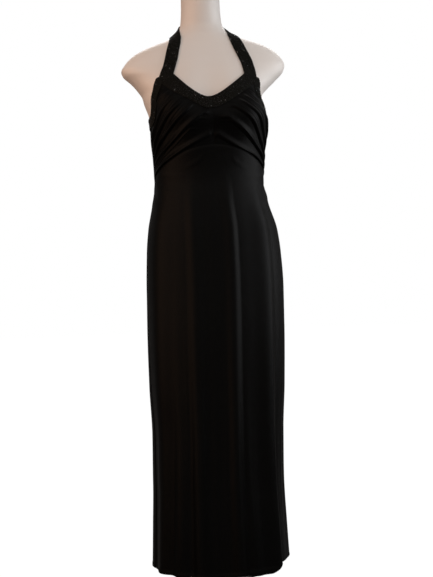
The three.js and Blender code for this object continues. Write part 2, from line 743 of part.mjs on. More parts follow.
function socketProfile() {
  const mouth = socketTop - SOCKET.height;
  const bore = POLE_RADIUS + SEAM;
  return [
    [0, poleTop + SEAM],
    [bore, poleTop + SEAM],
    [bore, mouth],
    [SOCKET.sleeve, mouth],
    [SOCKET.sleeve, socketTop - SOCKET.flangeHeight],
    [SOCKET.flange, socketTop - SOCKET.flangeHeight],
    [SOCKET.flange, socketTop],
    [0, socketTop],
  ];
}

const FINISHES = {
  jersey: { color: 0x0b0b0c, roughness: 0.85, metalness: 0 },
  trim: { color: 0x1b1b1d, roughness: 0.45, metalness: 0 },
  skin: { color: 0xd9cbc0, roughness: 0.4, metalness: 0 },
  steel: { color: 0xb9bbbd, roughness: 0.3, metalness: 0.9 },
};

const group = new THREE.Group();
function add(name, geometry, finish) {
  const mesh = new THREE.Mesh(geometry, new THREE.MeshStandardMaterial(FINISHES[finish]));
  mesh.name = name;
  group.add(mesh);
}

add("skirt_front", longPanel(-SIDE_SEAM, SIDE_SEAM, (a) => underbustZ(a) - SEAM / 2, 2), "jersey");
add(
  "back_panel",
  longPanel(SIDE_SEAM, 360 - SIDE_SEAM, (a) => backEdgeZ(a) - ARM_TRIM - SEAM, 5),
  "jersey",
);
add("bodice_drape_left", clothPiece(drapeGrid(DRAPE_LEFT, 1), CLOTH), "jersey");
add("bodice_drape_right", clothPiece(mirrored(drapeGrid(DRAPE_RIGHT, -1)), CLOTH), "jersey");

const trimThickness = CLOTH + TRIM_PROUD;
add("neck_trim_left", clothPiece(neckTrimGrid(1), trimThickness), "trim");
add("neck_trim_right", clothPiece(mirrored(neckTrimGrid(-1)), trimThickness), "trim");
add("armhole_trim_left", clothPiece(armTrimGrid(), trimThickness), "trim");
add("armhole_trim_right", clothPiece(mirrored(armTrimGrid()), trimThickness), "trim");
add("back_trim", clothPiece(backTrimGrid(), trimThickness), "trim");
add("halter_strap_left", halterStrap(1), "trim");
add("halter_strap_right", halterStrap(-1), "trim");

add("form_torso", ringStack(formRings()), "skin");
add("neck_cap", ringStack(neckCapRings()), "skin");
add("stand_base", turned(baseProfile(), 48), "steel");
add("stand_collar", turned(collarProfile(), 32), "steel");
add("stand_pole", turned(poleProfile(), 32), "steel");
add("form_socket", turned(socketProfile(), 32), "steel");

export default group;
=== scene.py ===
"""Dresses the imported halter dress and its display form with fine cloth, beads and finishes."""

import json
import math

import bpy
import numpy as np
from mathutils import Matrix, Vector


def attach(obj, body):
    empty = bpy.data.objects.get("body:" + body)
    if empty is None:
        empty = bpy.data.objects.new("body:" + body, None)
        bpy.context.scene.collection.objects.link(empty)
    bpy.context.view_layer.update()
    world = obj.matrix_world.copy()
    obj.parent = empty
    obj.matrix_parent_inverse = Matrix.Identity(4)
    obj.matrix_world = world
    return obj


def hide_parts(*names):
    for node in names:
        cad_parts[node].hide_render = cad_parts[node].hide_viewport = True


bl_info = {
    "name": "Halter Dress Dresser",
    "version": (1, 0, 0),
    "blender": (4, 5, 0),
    "location": "3D View > Sidebar > Halter Dress",
    "description": "Builds a halter dress of jersey and beaded trims on its display form and stand",
    "category": "Object",
}

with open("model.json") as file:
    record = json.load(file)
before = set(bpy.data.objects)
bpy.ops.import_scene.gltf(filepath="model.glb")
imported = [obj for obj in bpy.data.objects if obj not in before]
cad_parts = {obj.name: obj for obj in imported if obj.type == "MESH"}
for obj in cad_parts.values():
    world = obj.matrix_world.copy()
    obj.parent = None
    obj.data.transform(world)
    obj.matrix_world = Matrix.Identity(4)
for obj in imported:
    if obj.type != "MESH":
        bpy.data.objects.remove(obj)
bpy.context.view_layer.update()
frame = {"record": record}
SLOT_COLOURS = {m["slot"]: tuple(m["base_color"][:3]) for m in frame["record"]["materials"]}

MM = 0.001  # every size below is in millimetres and is turned into metres by this


def table(columns, *rows):
    """A table as arrays, one for each named column."""
    names = columns.split()
    return {name: np.array([row[i] for row in rows], float) for i, name in enumerate(names)}


# Driving sizes of the dress
EASE = 3.4  # from the form to the outside of the jersey where it fits closely
WALL = 1.5  # the jersey's wall in the frame
NECK_TRIM = 31.5
ARM_TRIM = 25
V_Z = 1207
V_X = -10.5
V_ROUNDING, V_SEAM_ROUNDING = 30, 38  # of the V's point, at the neckline and under the trim
SEAM_FOOT_ANGLE = -3.5  # the centre front seam, at the seam under the bust
SIDE_TOP_Z = 1172
BACK_TOP_Z = 1100
BACK_DIP = 1.8  # how flat the back edge runs in its middle
UNDERBUST_CENTRE, UNDERBUST_SIDE = 1090, 1015
SIDE_SEAM = 90
MEAN_RADIUS = 150  # turns degrees round the body into millimetres of cloth
STRAP_INNER = (91.5, 1272)
TRIM_CORNER = (116.5, 1246)
STRAP_OUTER = (126.5, 1265)
ARM_CORNER = (133, 1262.5)
ARM_BEND = 4
TRIM_PROUD = 0.6
TRIM_FALL = 0.9  # how far the trim's long edges fall below its middle
STRAP_SHARE = 0.75  # share of the armhole trim's upper end that the strap covers
MITRE_SHARE = 0.25  # share of the strap's cut end on the armhole side of the drape's corner

# Driving sizes of the form and its stand
FORM_BOTTOM_Z = 790
NECK_TOP_Z = 1506
CAP_HEIGHT, CAP_RIM = 9, 4.2
POLE_RADIUS, POLE_IN_SOCKET, POLE_PLAY = 16, 34, 0.3
BASE_RADIUS, BASE_THICKNESS = 135, 8
COLLAR_RADIUS, COLLAR_RIM, COLLAR_HEIGHT = 21, 38, 30
SOCKET_RADIUS, SOCKET_HEIGHT = 22, 46
FLANGE_RADIUS, FLANGE_THICKNESS = 55, 6

FORM_SECTIONS = table(
    "z side front back square",
    (790, 158, 98, 110, 2.2),
    (860, 161, 104, 119, 2.2),
    (920, 150, 102, 104, 2.2),
    (1000, 129, 92, 84, 2.2),
    (1060, 135, 98, 90, 2.3),
    (1120, 146, 106, 98, 2.4),
    (1165, 147.5, 111, 102, 2.4),
    (1205, 151, 104, 105, 2.5),
    (1228, 155.5, 99, 105, 2.5),
    (1249, 171, 93, 103, 2.5),
    (1270, 192, 86, 100, 2.4),
    (1290, 212, 79, 96, 2.4),
    (1303, 216, 75, 93, 2.4),
    (1322, 206, 68, 88, 2.4),
    (1343, 184, 61, 80, 2.3),
    (1356, 159, 57, 74, 2.3),
    (1367, 130, 54, 70, 2.2),
    (1377, 97.5, 52, 66, 2.2),
    (1390, 74, 50, 60, 2.1),
    (1408, 58, 50, 52, 2),
    (1425, 53.5, 52, 46, 2),
    (1460, 51, 56, 41, 2),
    (1515, 50, 60, 38, 2),
)
SKIRT_SECTIONS = table(
    "z side front back square",
    (0, 176.8, 148, 151, 2.1),
    (100, 172.8, 143, 147, 2.1),
    (224, 169, 136, 141, 2.1),
    (350, 170, 131, 137, 2.1),
    (476, 176.5, 127, 134, 2.15),
    (633, 179.7, 124, 133, 2.2),
    (727, 179.7, 121, 133, 2.2),
    (822, 175.7, 118, 131, 2.2),
    (884, 168.5, 116, 127, 2.2),
    (947, 152.8, 112, 114, 2.2),
    (1005, 143.5, 107, 100, 2.2),
    (1073, 145.5, 110, 99, 2.3),
)
FITTED = FORM_SECTIONS["z"] > 1100
DRESS_SECTIONS = {
    name: np.concatenate([
        SKIRT_SECTIONS[name],
        FORM_SECTIONS[name][FITTED] + (EASE if name in ("side", "front", "back") else 0),
    ])
    for name in FORM_SECTIONS
}
SWAY = table(
    "z shift",
    (0, 1.5), (224, 2.5), (350, 5.3), (476, 7.3), (633, 10), (760, 12),
    (870, 11), (960, 6.5), (1090, 6), (1155, 7.5), (1185, 3), (1220, -4),
    (1262, 0), (1300, 3), (1345, 1), (1430, 0),
)
TILT_DEGREES, TILT_FROM, TILT_FULL, TILT_FADE, TILT_LEVEL = 3.1, 1255, 1330, 1370, 1430
BUST_Z, BUST_ANGLE, BUST_HEIGHT, BUST_SPREAD = 1163, 33, 34, 20
BUST_ABOVE, BUST_BELOW = 62, 44
FORM_CLEFT, DRESS_CLEFT = 0.62, 0.35

FLUTES = table(
    "hip hem half depth hip_depth start skew",
    (-67, -71, 15, 11, 4.5, 1010, 0.1),
    (-48, -50, 11, 8, 0, 600, 0),
    (-30, -27, 12, 12, 5, 1030, -0.2),
    (10, 6, 12, 12, 6, 1040, 0.2),
    (27, 27, 9, 5, 0, 330, 0),
    (46, 44, 15, 16, 6, 1020, 0.3),
    (84, 88, 17, 9, 0.7, 920, 0),
    (112, 117, 16, 12, 3, 960, -0.1),
    (147, 141, 15, 14, 5, 1000, 0.2),
    (164, 164, 11, 8, 0, 560, 0),
    (181, 186, 14, 13, 5.5, 1010, 0),
    (213, 208, 15, 14, 5, 990, -0.2),
    (232, 235, 12, 9, 0, 540, 0),
    (252, 258, 18, 11, 1.5, 940, 0.1),
)
HIP_Z = 870
FLUTE_TROUGH, TROUGH_TOP = 5, 900  # how far the cloth falls in between the flutes, up to where
HEM_Z = 12
HEM = table(
    "angle z",
    (-90, 10), (-62, 13), (-48, 11.5), (-38, 16), (-30, 20), (-22, 16), (-10, 13), (3, 16),
    (17, 10), (30, 6), (40, 5), (46, 12), (52, 23), (62, 20), (78, 19), (98, 21),
    (135, 12), (180, 14), (225, 11.5), (270, 10),
)

# Folds of the drape: start angle and height, height on the side seam, half widths, height.
# The first rows are the solids' own folds, and the rest are finer ones between them.
FOLD_COLUMNS = "angle z side start_half side_half height"
DRAPE_LEFT = table(
    FOLD_COLUMNS,
    (4, 1118, 1021, 15, 6, 4.5),
    (12, 1160, 1031, 14, 6, 5.5),
    (19, 1186, 1045, 13, 8, 6),
    (27, 1200, 1066, 12, 10, 5.5),
    (36, 1214, 1094, 11, 12, 5),
    (44, 1230, 1128, 10, 12, 4.5),
    (16, 1146, 1026, 5, 3, 1.7),
    (23, 1192, 1038, 5, 3.5, 1.6),
    (32, 1206, 1056, 5, 4, 1.9),
    (40, 1221, 1080, 5, 5, 1.5),
    (30, 1128, 1019, 5, 2.5, 1.3),
)
DRAPE_RIGHT = table(
    FOLD_COLUMNS,
    (5, 1124, 1025, 14, 7, 4.8),
    (14, 1168, 1038, 13, 7, 5.4),
    (22, 1190, 1053, 12, 8, 6),
    (30, 1203, 1073, 12, 10, 5.4),
    (37, 1215, 1100, 10, 12, 5),
    (45, 1231, 1132, 10, 12, 4),
    (18, 1152, 1031, 5, 3, 1.5),
    (26, 1197, 1046, 5, 4, 1.8),
    (34, 1209, 1062, 5, 4.5, 1.6),
    (41, 1223, 1086, 5, 5, 1.7),
    (28, 1126, 1022, 5, 2.5, 1.4),
)
FOLD_SAG = 1.1
FOLD_SKEW = -0.38  # leans each fold over the side on which the cloth tucks under
FOLD_BIRTH = (-14, 2)  # degrees from its start, between which a fold rises
FOLD_AT_CENTRE, FOLD_AT_SIDE = 0.5, 0.32  # share of its height that a fold keeps at each end
FOLD_WANDER = 1.6

STRAP_LINE = (
    {"x": 110, "z": 1266, "width": 35},
    {"x": 106.4, "z": 1284, "width": 33},
    {"x": 102.2, "z": 1301, "width": 32},
    {"x": 94.8, "z": 1321, "width": 32},
    {"x": 88.4, "z": 1338, "width": 31.5},
    {"x": 81.5, "z": 1358, "width": 31},
    {"angle": 62, "z": 1373, "width": 30},
    {"angle": 71, "z": 1384, "width": 29.5},
    {"angle": 87, "z": 1395, "width": 29},
    {"angle": 111, "z": 1405, "width": 28.5},
    {"angle": 138, "z": 1412, "width": 28},
    {"angle": 160, "z": 1415, "width": 28},
    {"angle": 180, "z": 1416, "width": 28},
)
STRAP_LIFT_CHEST, STRAP_LIFT_NAPE = 1.3, 0.6


def lerp(start, end, t):
    return start + (end - start) * t


def smooth(value, low, high):
    t = np.clip((value - low) / (high - low), 0, 1)
    return t * t * (3 - 2 * t)


def column(rows, name, at, key="z"):
    """One column of a table at some places, by a cubic that never overshoots its rows."""
    x, y = rows[key], rows[name]
    slope = np.diff(y) / np.diff(x)
    same = slope[:-1] * slope[1:] > 0
    both = np.where(same, slope[:-1] + slope[1:], 1)
    inner = np.where(same, 2 * slope[:-1] * slope[1:] / both, 0)
    tangent = np.concatenate([slope[:1], inner, slope[-1:]])
    place = np.clip(np.asarray(at, float), x[0], x[-1])
    i = np.clip(np.searchsorted(x, place) - 1, 0, len(x) - 2)
    step = x[i + 1] - x[i]
    t = (place - x[i]) / step
    return (
        y[i] * (1 + 2 * t) * (1 - t) ** 2
        + step * tangent[i] * t * (1 - t) ** 2
        + y[i + 1] * t * t * (3 - 2 * t)
        + step * tangent[i + 1] * t * t * (t - 1)
    )


def wrapped(angle):
    """An angle brought to between -180 and 180 degrees."""
    return (angle + 180) % 360 - 180


def section_radius(sections, angle, z):
    """Radius of a rounded oblong section, whose front and back depths differ."""
    across, along = np.abs(np.sin(np.radians(angle))), np.cos(np.radians(angle))
    depth = np.where(along > 0, column(sections, "front", z), column(sections, "back", z))
    side, power = column(sections, "side", z), column(sections, "square", z)
    return ((across / side) ** power + (np.abs(along) / depth) ** power) ** (-1 / power)


def bust(angle, z, cleft):
    """Height of the bust, whose middle is lower by the cleft's share."""
    off = np.abs(wrapped(angle))
    reach = np.where(z > BUST_Z, BUST_ABOVE, BUST_BELOW)
    fall = np.exp(-((z - BUST_Z) ** 2) / (2 * reach**2))
    inside = 1 - cleft * (1 - (off / BUST_ANGLE) ** 2) ** 2
    outside = np.exp(-((off - BUST_ANGLE) ** 2) / (2 * BUST_SPREAD**2))
    return BUST_HEIGHT * fall * np.where(off < BUST_ANGLE, inside, outside)


def ridge(t, skew=0.0):
    """A rounded ridge, 1 high at 0 and flat at -1 and 1, its top pushed to one side."""
    pushed = t - skew * (1 - t * t)
    return np.where(np.abs(t) < 1, np.cos(np.pi / 2 * pushed) ** 2, 0)


def flutes(angle, z):
    """Height of the flutes, which deepen from the hip to the hem, and of the troughs between."""
    depth = np.zeros(np.broadcast(angle, z).shape)
    lean = np.clip(1 - z / HIP_Z, 0, 1)
    for hip, hem, half, deep, hip_depth, start, skew in zip(*FLUTES.values()):
        upper = hip_depth * (1 - smooth(z, HIP_Z, start))
        tall = upper + (deep - hip_depth) * (1 - smooth(z, HEM_Z, min(start, HIP_Z)))
        depth += tall * ridge(wrapped(angle - lerp(hip, hem, lean)) / half, skew)
    return depth - FLUTE_TROUGH * (1 - smooth(z, HEM_Z, TROUGH_TOP))


def ripple_table(count=46, seed=11):
    """Shallow ripples of the hanging jersey between its flutes, uneven in every measure."""
    draw = np.random.RandomState(seed)
    return [
        {
            "angle": 360 * (i + 0.7 * draw.rand()) / count,
            "lean": draw.uniform(-5, 5),
            "half": draw.uniform(3.2, 7.5),
            "depth": draw.uniform(-1.5, 2.4),
            "top": draw.uniform(420, 1000),
            "foot": draw.uniform(-300, 260),
        }
        for i in range(count)
    ]


RIPPLES = ripple_table()

# Drag lines of the fitted jersey: a soft crease from one angle and height to another
DRAG_LINES = table(
    "angle z to_angle to_z half depth",
    (88, 1005, 52, 962, 7, -1.4),
    (88, 985, 60, 935, 8, 1.5),
    (86, 1030, 40, 1006, 6, 1.1),
    (-88, 1008, -50, 970, 7, 1.5),
    (-88, 982, -58, 938, 8, -1.2),
    (-85, 1032, -38, 1012, 6, 1.0),
    (92, 1002, 130, 960, 8, 1.5),
    (94, 1028, 150, 1000, 7, 1.4),
    (268, 1000, 232, 955, 8, 1.4),
    (266, 1026, 214, 1002, 7, 1.3),
    (170, 1012, 205, 985, 9, 1.6),
    (150, 990, 190, 968, 8, -1.1),
    (20, 1056, 44, 1030, 6, 0.8),
    (-16, 1060, -42, 1034, 6, 0.7),
)
DRAG_SAG = 5


def drag(angle, z):
    """Height of the drag lines, which fade at both ends."""
    height = np.zeros(np.broadcast(angle, z).shape)
    for a0, z0, a1, z1, half, depth in zip(*DRAG_LINES.values()):
        share = wrapped(angle - a0) / wrapped(a1 - a0)
        line = lerp(z0, z1, share) - DRAG_SAG * np.sin(np.pi * np.clip(share, 0, 1))
        fade = smooth(share, -0.1, 0.25) * (1 - smooth(share, 0.55, 1.1))
        height += depth * fade * np.exp(-(((z - line) / half) ** 2))
    return height


def ripples(angle, z):
    """Height of the ripples, each of which fades out at a lower and an upper end."""
    height = np.zeros(np.broadcast(angle, z).shape)
    for row in RIPPLES:
        centre = row["angle"] + row["lean"] * (1 - z / 1000)
        lower_end = smooth(z, row["foot"] - 80, row["foot"] + 200)
        upper_end = 1 - smooth(z, 250, row["top"])
        shape = ridge(wrapped(angle - centre) / row["half"])
        height += row["depth"] * lower_end * upper_end * shape
    return height


def to_points(radius, angle, z):
    """Points round the body's swayed and tilted axis."""
    x = radius * np.sin(np.radians(angle))
    y = -radius * np.cos(np.radians(angle))
    tilt = smooth(z, TILT_FROM, TILT_FULL) * (1 - smooth(z, TILT_FADE, TILT_LEVEL))
    lift = x * math.tan(math.radians(TILT_DEGREES)) * tilt
    return np.stack(np.broadcast_arrays(x + column(SWAY, "shift", z), y, z + lift), -1)


def form_skin(angle, z):
    return to_points(section_radius(FORM_SECTIONS, angle, z) + bust(angle, z, FORM_CLEFT), angle, z)


def dress_skin(angle, z):
    radius = section_radius(DRESS_SECTIONS, angle, z)
    return to_points(radius + bust(angle, z, DRESS_CLEFT) + flutes(angle, z), angle, z)


def raised(skin, angle, z, out):
    """Points of a skin, moved out along its normal; all three are grids of one shape."""
    angle, z, out = np.broadcast_arrays(np.asarray(angle, float), z, out)
    turn, rise = 0.4, 0.8
    along = skin(angle + turn, z) - skin(angle - turn, z)
    up = skin(angle, z + rise) - skin(angle, z - rise)
    normal = np.cross(along, up)
    normal /= np.linalg.norm(normal, axis=-1, keepdims=True)
    return skin(angle, z) + normal * out[..., None]


def front_angle(x, z, skin=dress_skin):
    """The angle at which a skin has a given x at a given height, on its front."""
    low, high = np.full(np.shape(x), -SIDE_SEAM / 4), np.full(np.shape(x), float(SIDE_SEAM))
    for _ in range(40):
        middle = (low + high) / 2
        inside = skin(middle, np.asarray(z, float))[..., 0] < x
        low, high = np.where(inside, middle, low), np.where(inside, high, middle)
    return low


def corner(place):
    """Angle and height of a corner given by its x and height."""
    x, z = place
    return float(front_angle(np.array(float(x)), z)), float(z)


INNER_CORNER = corner(STRAP_INNER)
OUTER_CORNER = corner(STRAP_OUTER)
LOWER_CORNER = corner(TRIM_CORNER)
LEDGE_CORNER = corner(ARM_CORNER)


def rounded_rise(t, end, bottom, roundness, hand):
    """A line from the neckline's lowest point; the right half (hand -1) is mirrored later."""
    rise = np.hypot(end[0] * t, roundness) - roundness
    z = bottom + (end[1] - bottom) * rise / (math.hypot(end[0], roundness) - roundness)
    shift = column(SWAY, "shift", z)
    return front_angle(lerp(shift + hand * (V_X - shift), end[0], t), z), z


def neck_edge(t, hand):
    return rounded_rise(t, STRAP_INNER, V_Z, V_ROUNDING, hand)


def neck_lower(t, hand):
    return rounded_rise(t, TRIM_CORNER, V_Z - NECK_TRIM, V_SEAM_ROUNDING, hand)


def arm_curve(t, start, end_z):
    return lerp(start[0], SIDE_SEAM, t), end_z + (start[1] - end_z) * (1 - t) ** ARM_BEND


def arm_edge(t):
    return arm_curve(t, LEDGE_CORNER, SIDE_TOP_Z)


def arm_inner(t):
    return arm_curve(t, LOWER_CORNER, SIDE_TOP_Z - ARM_TRIM)


def back_edge_z(angle):
    across = np.abs(np.sin(np.radians(angle)))
    return BACK_TOP_Z + (SIDE_TOP_Z - BACK_TOP_Z) * across**BACK_DIP


def back_seam_z(angle):
    return back_edge_z(angle) - ARM_TRIM


def underbust_z(angle):
    return UNDERBUST_SIDE + (UNDERBUST_CENTRE - UNDERBUST_SIDE) * np.cos(np.radians(angle))


def grid_mesh(name, outer, inner):
    """A thin closed wall between two grids of points in millimetres, with metric UVs."""
    rows, cols = outer.shape[:2]
    index = np.arange(rows * cols).reshape(rows, cols)
    a, b, c, d = index[:-1, :-1], index[:-1, 1:], index[1:, 1:], index[1:, :-1]
    under = rows * cols

    def quads(*corners):
        return np.stack([np.ravel(corner) for corner in corners], -1)

    foot, head, left, right = index[0], index[-1], index[:, 0], index[:, -1]
    faces = np.concatenate([
        quads(a, b, c, d),
        quads(a, d, c, b) + under,
        quads(foot[:-1] + under, foot[1:] + under, foot[1:], foot[:-1]),
        quads(head[:-1], head[1:], head[1:] + under, head[:-1] + under),
        quads(left[:-1], left[1:], left[1:] + under, left[:-1] + under),
        quads(right[:-1], right[:-1] + under, right[1:] + under, right[1:]),
    ])
    points = np.concatenate([outer.reshape(-1, 3), inner.reshape(-1, 3)]) * MM
    mesh = bpy.data.meshes.new(name)
    mesh.from_pydata(points.tolist(), [], faces.tolist())
    across = np.cumsum(np.linalg.norm(np.diff(outer[rows // 2], axis=0), axis=-1))
    up = np.cumsum(np.linalg.norm(np.diff(outer[:, cols // 2], axis=0), axis=-1))
    u = np.tile(np.concatenate([[0], across]), (rows, 1))
    v = np.tile(np.concatenate([[0], up])[:, None], (1, cols))
    place = np.stack([u, v], -1).reshape(-1, 2) * MM
    add_uvs(mesh, np.concatenate([place, place]))
    return finish_mesh(name, mesh)


def add_uvs(mesh, places):
    corners = np.empty(len(mesh.loops), int)
    mesh.loops.foreach_get("vertex_index", corners)
    layer = mesh.uv_layers.new(name="cloth_metres")
    layer.data.foreach_set("uv", places[corners].astype(np.float32).ravel())


def add_object(name, data):
    """Puts a mesh, camera or light into the scene."""
    made = bpy.data.objects.new(name, data)
    bpy.context.scene.collection.objects.link(made)
    return made


def finish_mesh(name, mesh, smooth_angle=50):
    mesh.polygons.foreach_set("use_smooth", [True] * len(mesh.polygons))
    mesh.set_sharp_from_angle(angle=math.radians(smooth_angle))
    mesh.update()
    return add_object(name, mesh)


def put_on(piece, node, material):
    """Lets a new piece stand for its solid and its finish."""
    piece.data.materials.clear()
    piece.data.materials.append(material)
    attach(piece, "root")
    if node:
        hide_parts(node)
    return piece


def rgba(colour):
    return (*colour, 1.0)


def toned(colour, shares):
    """A colour times one share, or times one share for each channel."""
    return tuple(float(channel) for channel in np.clip(np.multiply(colour, shares), 0, 1))


class Socket:
    """A socket in a shader's maths: an expression on values adds its Math nodes."""

    def __init__(self, shader, socket):
        self.shader = shader
        self.socket = socket

    def math(self, operation, *values, clamp=False):
        settings = {"operation": operation, "use_clamp": clamp}
        return self.shader.node("ShaderNodeMath", settings, dict(enumerate(values)))

    def __add__(self, other):
        return self.math("ADD", self, other)

    def __sub__(self, other):
        return self.math("SUBTRACT", self, other)

    def __mul__(self, other):
        return self.math("MULTIPLY", self, other)

    def __pow__(self, other):
        return self.math("POWER", self, other)

    def __rsub__(self, other):
        return self.math("SUBTRACT", other, self)

    __radd__ = __add__
    __rmul__ = __mul__

    def sin(self):
        return self.math("SINE", self)

    def clamped(self):
        return self.math("ADD", self, 0.0, clamp=True)


class Shader:
    """The node tree of a material or world, with one method that adds any node."""

    def __init__(self, owner):
        self.owner = owner
        owner.use_nodes = True
        self.tree = owner.node_tree
        self.tree.nodes.clear()

    def node(self, kind, settings=None, inputs=None, output=0):
        made = self.tree.nodes.new(kind)
        for name, value in (settings or {}).items():
            if name == "stops":
                self._set_stops(made.color_ramp, value)
            else:
                setattr(made, name, value)
        for key, value in (inputs or {}).items():
            target = made.inputs[key]
            if isinstance(value, Socket):
                self.tree.links.new(value.socket, target)
            else:
                target.default_value = value
        return Socket(self, made.outputs[output]) if made.outputs else None

    @staticmethod
    def _set_stops(ramp, stops):
        while len(ramp.elements) < len(stops):
            ramp.elements.new(0.5)
        for element, (place, colour) in zip(ramp.elements, stops):
            element.position = place
            element.color = rgba(colour)

    def coordinates(self, which):
        return self.node("ShaderNodeTexCoord", output=which)

    def noise(self, place, scale, detail=3.0, roughness=0.5):
        values = {"Vector": place, "Scale": scale, "Detail": detail, "Roughness": roughness}
        return self.node("ShaderNodeTexNoise", {}, values, output="Fac")

    def axes(self, place):
        split = self.node("ShaderNodeSeparateXYZ", {}, {0: place})
        made = split.socket.node
        return [Socket(self, made.outputs[i]) for i in range(3)]

    def mix(self, share, first, second):
        """A colour between two, through the node's own sockets for colours."""
        values = {0: share, 6: rgba(first), 7: rgba(second)}
        return self.node("ShaderNodeMix", {"data_type": "RGBA"}, values, output=2)

    def bump(self, height, strength, distance, below=None):
        values = {"Height": height, "Strength": strength, "Distance": distance}
        if below is not None:
            values["Normal"] = below
        return self.node("ShaderNodeBump", {}, values)

    def surface(self, **values):
        """Ends the tree with a Principled surface; names are its sockets in plain words."""
        inputs = {name.replace("_", " "): value for name, value in values.items()}
        surface = self.node("ShaderNodeBsdfPrincipled", {}, inputs)
        self.node("ShaderNodeOutputMaterial", {}, {"Surface": surface})
        return self.owner


def black_jersey(colour, sheen):
    """Fine matte knit: columns of small loops with a soft nap, and uneven depth of black."""
    shader = Shader(bpy.data.materials.new("black_jersey"))
    place = shader.coordinates("UV")
    across, up, _ = shader.axes(place)
    loop_width, loop_height = 0.0013, 0.0010
    wale = (across * (2 * math.pi / loop_width)).sin()
    loops = (up * (2 * math.pi / loop_height) + wale * 1.3).sin() * 0.5 + 0.5
    knit = loops * (wale * 0.5 + 0.5)
    nap = shader.noise(place, 900.0, 2.0, 0.6)
    cloudy = shader.noise(place, 14.0, 3.0, 0.55)
    worn = shader.noise(place, 70.0, 4.0, 0.6)
    depth = (cloudy * 0.6 + worn * 0.5 - 0.05).clamped()
    shade = shader.mix(depth, toned(colour, 0.55), toned(colour, 1.7))
    low = shader.bump(nap, 0.25, 0.0004)
    return shader.surface(
        Base_Color=shade,
        Roughness=(0.4 + cloudy * 0.06),
        Normal=shader.bump(knit, 0.45, 0.00018, low),
        Specular_IOR_Level=0.065,
        Sheen_Weight=sheen,
        Sheen_Roughness=0.3,
        Sheen_Tint=rgba((0.98, 0.93, 0.9)),
    )


def bead_ground(colour):
    """The dark woven ground under the beads."""
    shader = Shader(bpy.data.materials.new("bead_ground"))
    place = shader.coordinates("UV")
    weave = shader.noise(place, 1500.0, 2.0, 0.6)
    shade = shader.mix(weave, toned(colour, 0.4), colour)
    normal = shader.bump(weave, 0.5, 0.0004)
    return shader.surface(Base_Color=shade, Roughness=0.8, Normal=normal, Specular_IOR_Level=0.03)


def jet_beads(colour):
    """Cut glass beads: nearly black, with a tone of their own and a few bright ones."""
    shader = Shader(bpy.data.materials.new("jet_beads"))
    tone = shader.node("ShaderNodeAttribute", {"attribute_name": "bead_tone"}, output="Fac")
    stops = [
        (0.0, toned(colour, 0.6)),
        (0.9, colour),
        (0.99, toned(colour, 2)),
        (0.998, (0.55, 0.57, 0.6)),
    ]
    shade = shader.node("ShaderNodeValToRGB", {"stops": stops}, {"Fac": tone})
    return shader.surface(
        Base_Color=shade,
        Roughness=(0.30 - tone * 0.16),
        Metallic=(tone * 100.0 - 99.0).clamped(),
        Specular_IOR_Level=0.07,
    )


def form_lacquer(colour, gloss):
    """The form's satin paint: warm white, faintly cloudy, with the slightest orange peel."""
    shader = Shader(bpy.data.materials.new("form_lacquer"))
    place = shader.coordinates("Object")
    cloudy = shader.noise(place, 5.0, 3.0, 0.5)
    peel = shader.noise(place, 160.0, 2.0, 0.5)
    cool, warm = toned(colour, (0.97, 1, 1.03)), toned(colour, (1.03, 0.985, 0.94))
    return shader.surface(
        Base_Color=shader.mix(cloudy, cool, warm),
        Roughness=(gloss + cloudy * 0.1),
        Normal=shader.bump(peel, 0.05, 0.0006),
        Coat_Weight=0.12,
        Coat_Roughness=0.3,
    )


def turned_steel(colour, roughness):
    """Steel with the fine rings of turning and a few handling marks."""
    shader = Shader(bpy.data.materials.new("turned_steel"))
    place = shader.coordinates("Object")
    x, y, z = shader.axes(place)
    reach = (x * x + y * y) ** 0.5
    rings = shader.noise(shader.node("ShaderNodeCombineXYZ", {}, {0: reach, 1: z}), 900.0, 2.0)
    marks = shader.noise(place, 24.0, 4.0, 0.6)
    shade = shader.mix(marks, toned(colour, 0.82), colour)
    return shader.surface(
        Base_Color=shade,
        Metallic=1.0,
        Roughness=(roughness + rings * 0.12 + marks * 0.1),
        Normal=shader.bump(rings, 0.12, 0.0002),
    )


def pale_floor(colour):
    """A floor that is white to the camera and throws little light back on the cloth."""
    shader = Shader(bpy.data.materials.new("pale_floor"))
    place = shader.coordinates("Object")
    cloudy = shader.noise(place, 1.5, 2.0, 0.5)
    shade = shader.mix(cloudy, toned(colour, 0.985), colour)
    dim = shader.mix(cloudy, toned(colour, 0.13), toned(colour, 0.15))
    matte = shader.node("ShaderNodeBsdfDiffuse", {}, {"Color": dim})
    glow = shader.node("ShaderNodeEmission", {}, {"Color": shade, "Strength": 1.22})
    seen = shader.node("ShaderNodeLightPath", output="Is Camera Ray")
    lit = shader.node("ShaderNodeMixShader", {}, {0: seen * 0.93, 1: matte, 2: glow})
    shader.node("ShaderNodeOutputMaterial", {}, {"Surface": lit})
    return shader.owner


def colour_property(name, description, default):
    return bpy.props.FloatVectorProperty(
        name=name, description=description, subtype="COLOR", size=3, default=default
    )


def length_property(name, description, default):
    return bpy.props.FloatProperty(
        name=name, description=description, default=default, unit="LENGTH"
    )


def share_property(name, description, default):
    return bpy.props.FloatProperty(
        name=name, description=description, default=default, min=0, max=1, subtype="FACTOR"
    )


def angle_property(name, description, degrees):
    return bpy.props.FloatProperty(
        name=name, description=description, default=math.radians(degrees), subtype="ANGLE"
    )


class HalterDressSizes(bpy.types.PropertyGroup):
    """Sizes and colours of the jersey and its drape."""

    jersey_thickness: length_property("Jersey thickness", "Wall of the cloth", 0.001)
    tuck: length_property("Seam tuck", "How far an edge dips to run under its neighbour", 0.0017)
    jersey_colour: colour_property(
        "Jersey colour", "Mean black of the jersey", (0.0005, 0.0004, 0.0003)
    )
    sheen: share_property("Sheen", "Strength of the soft nap", 0.02)


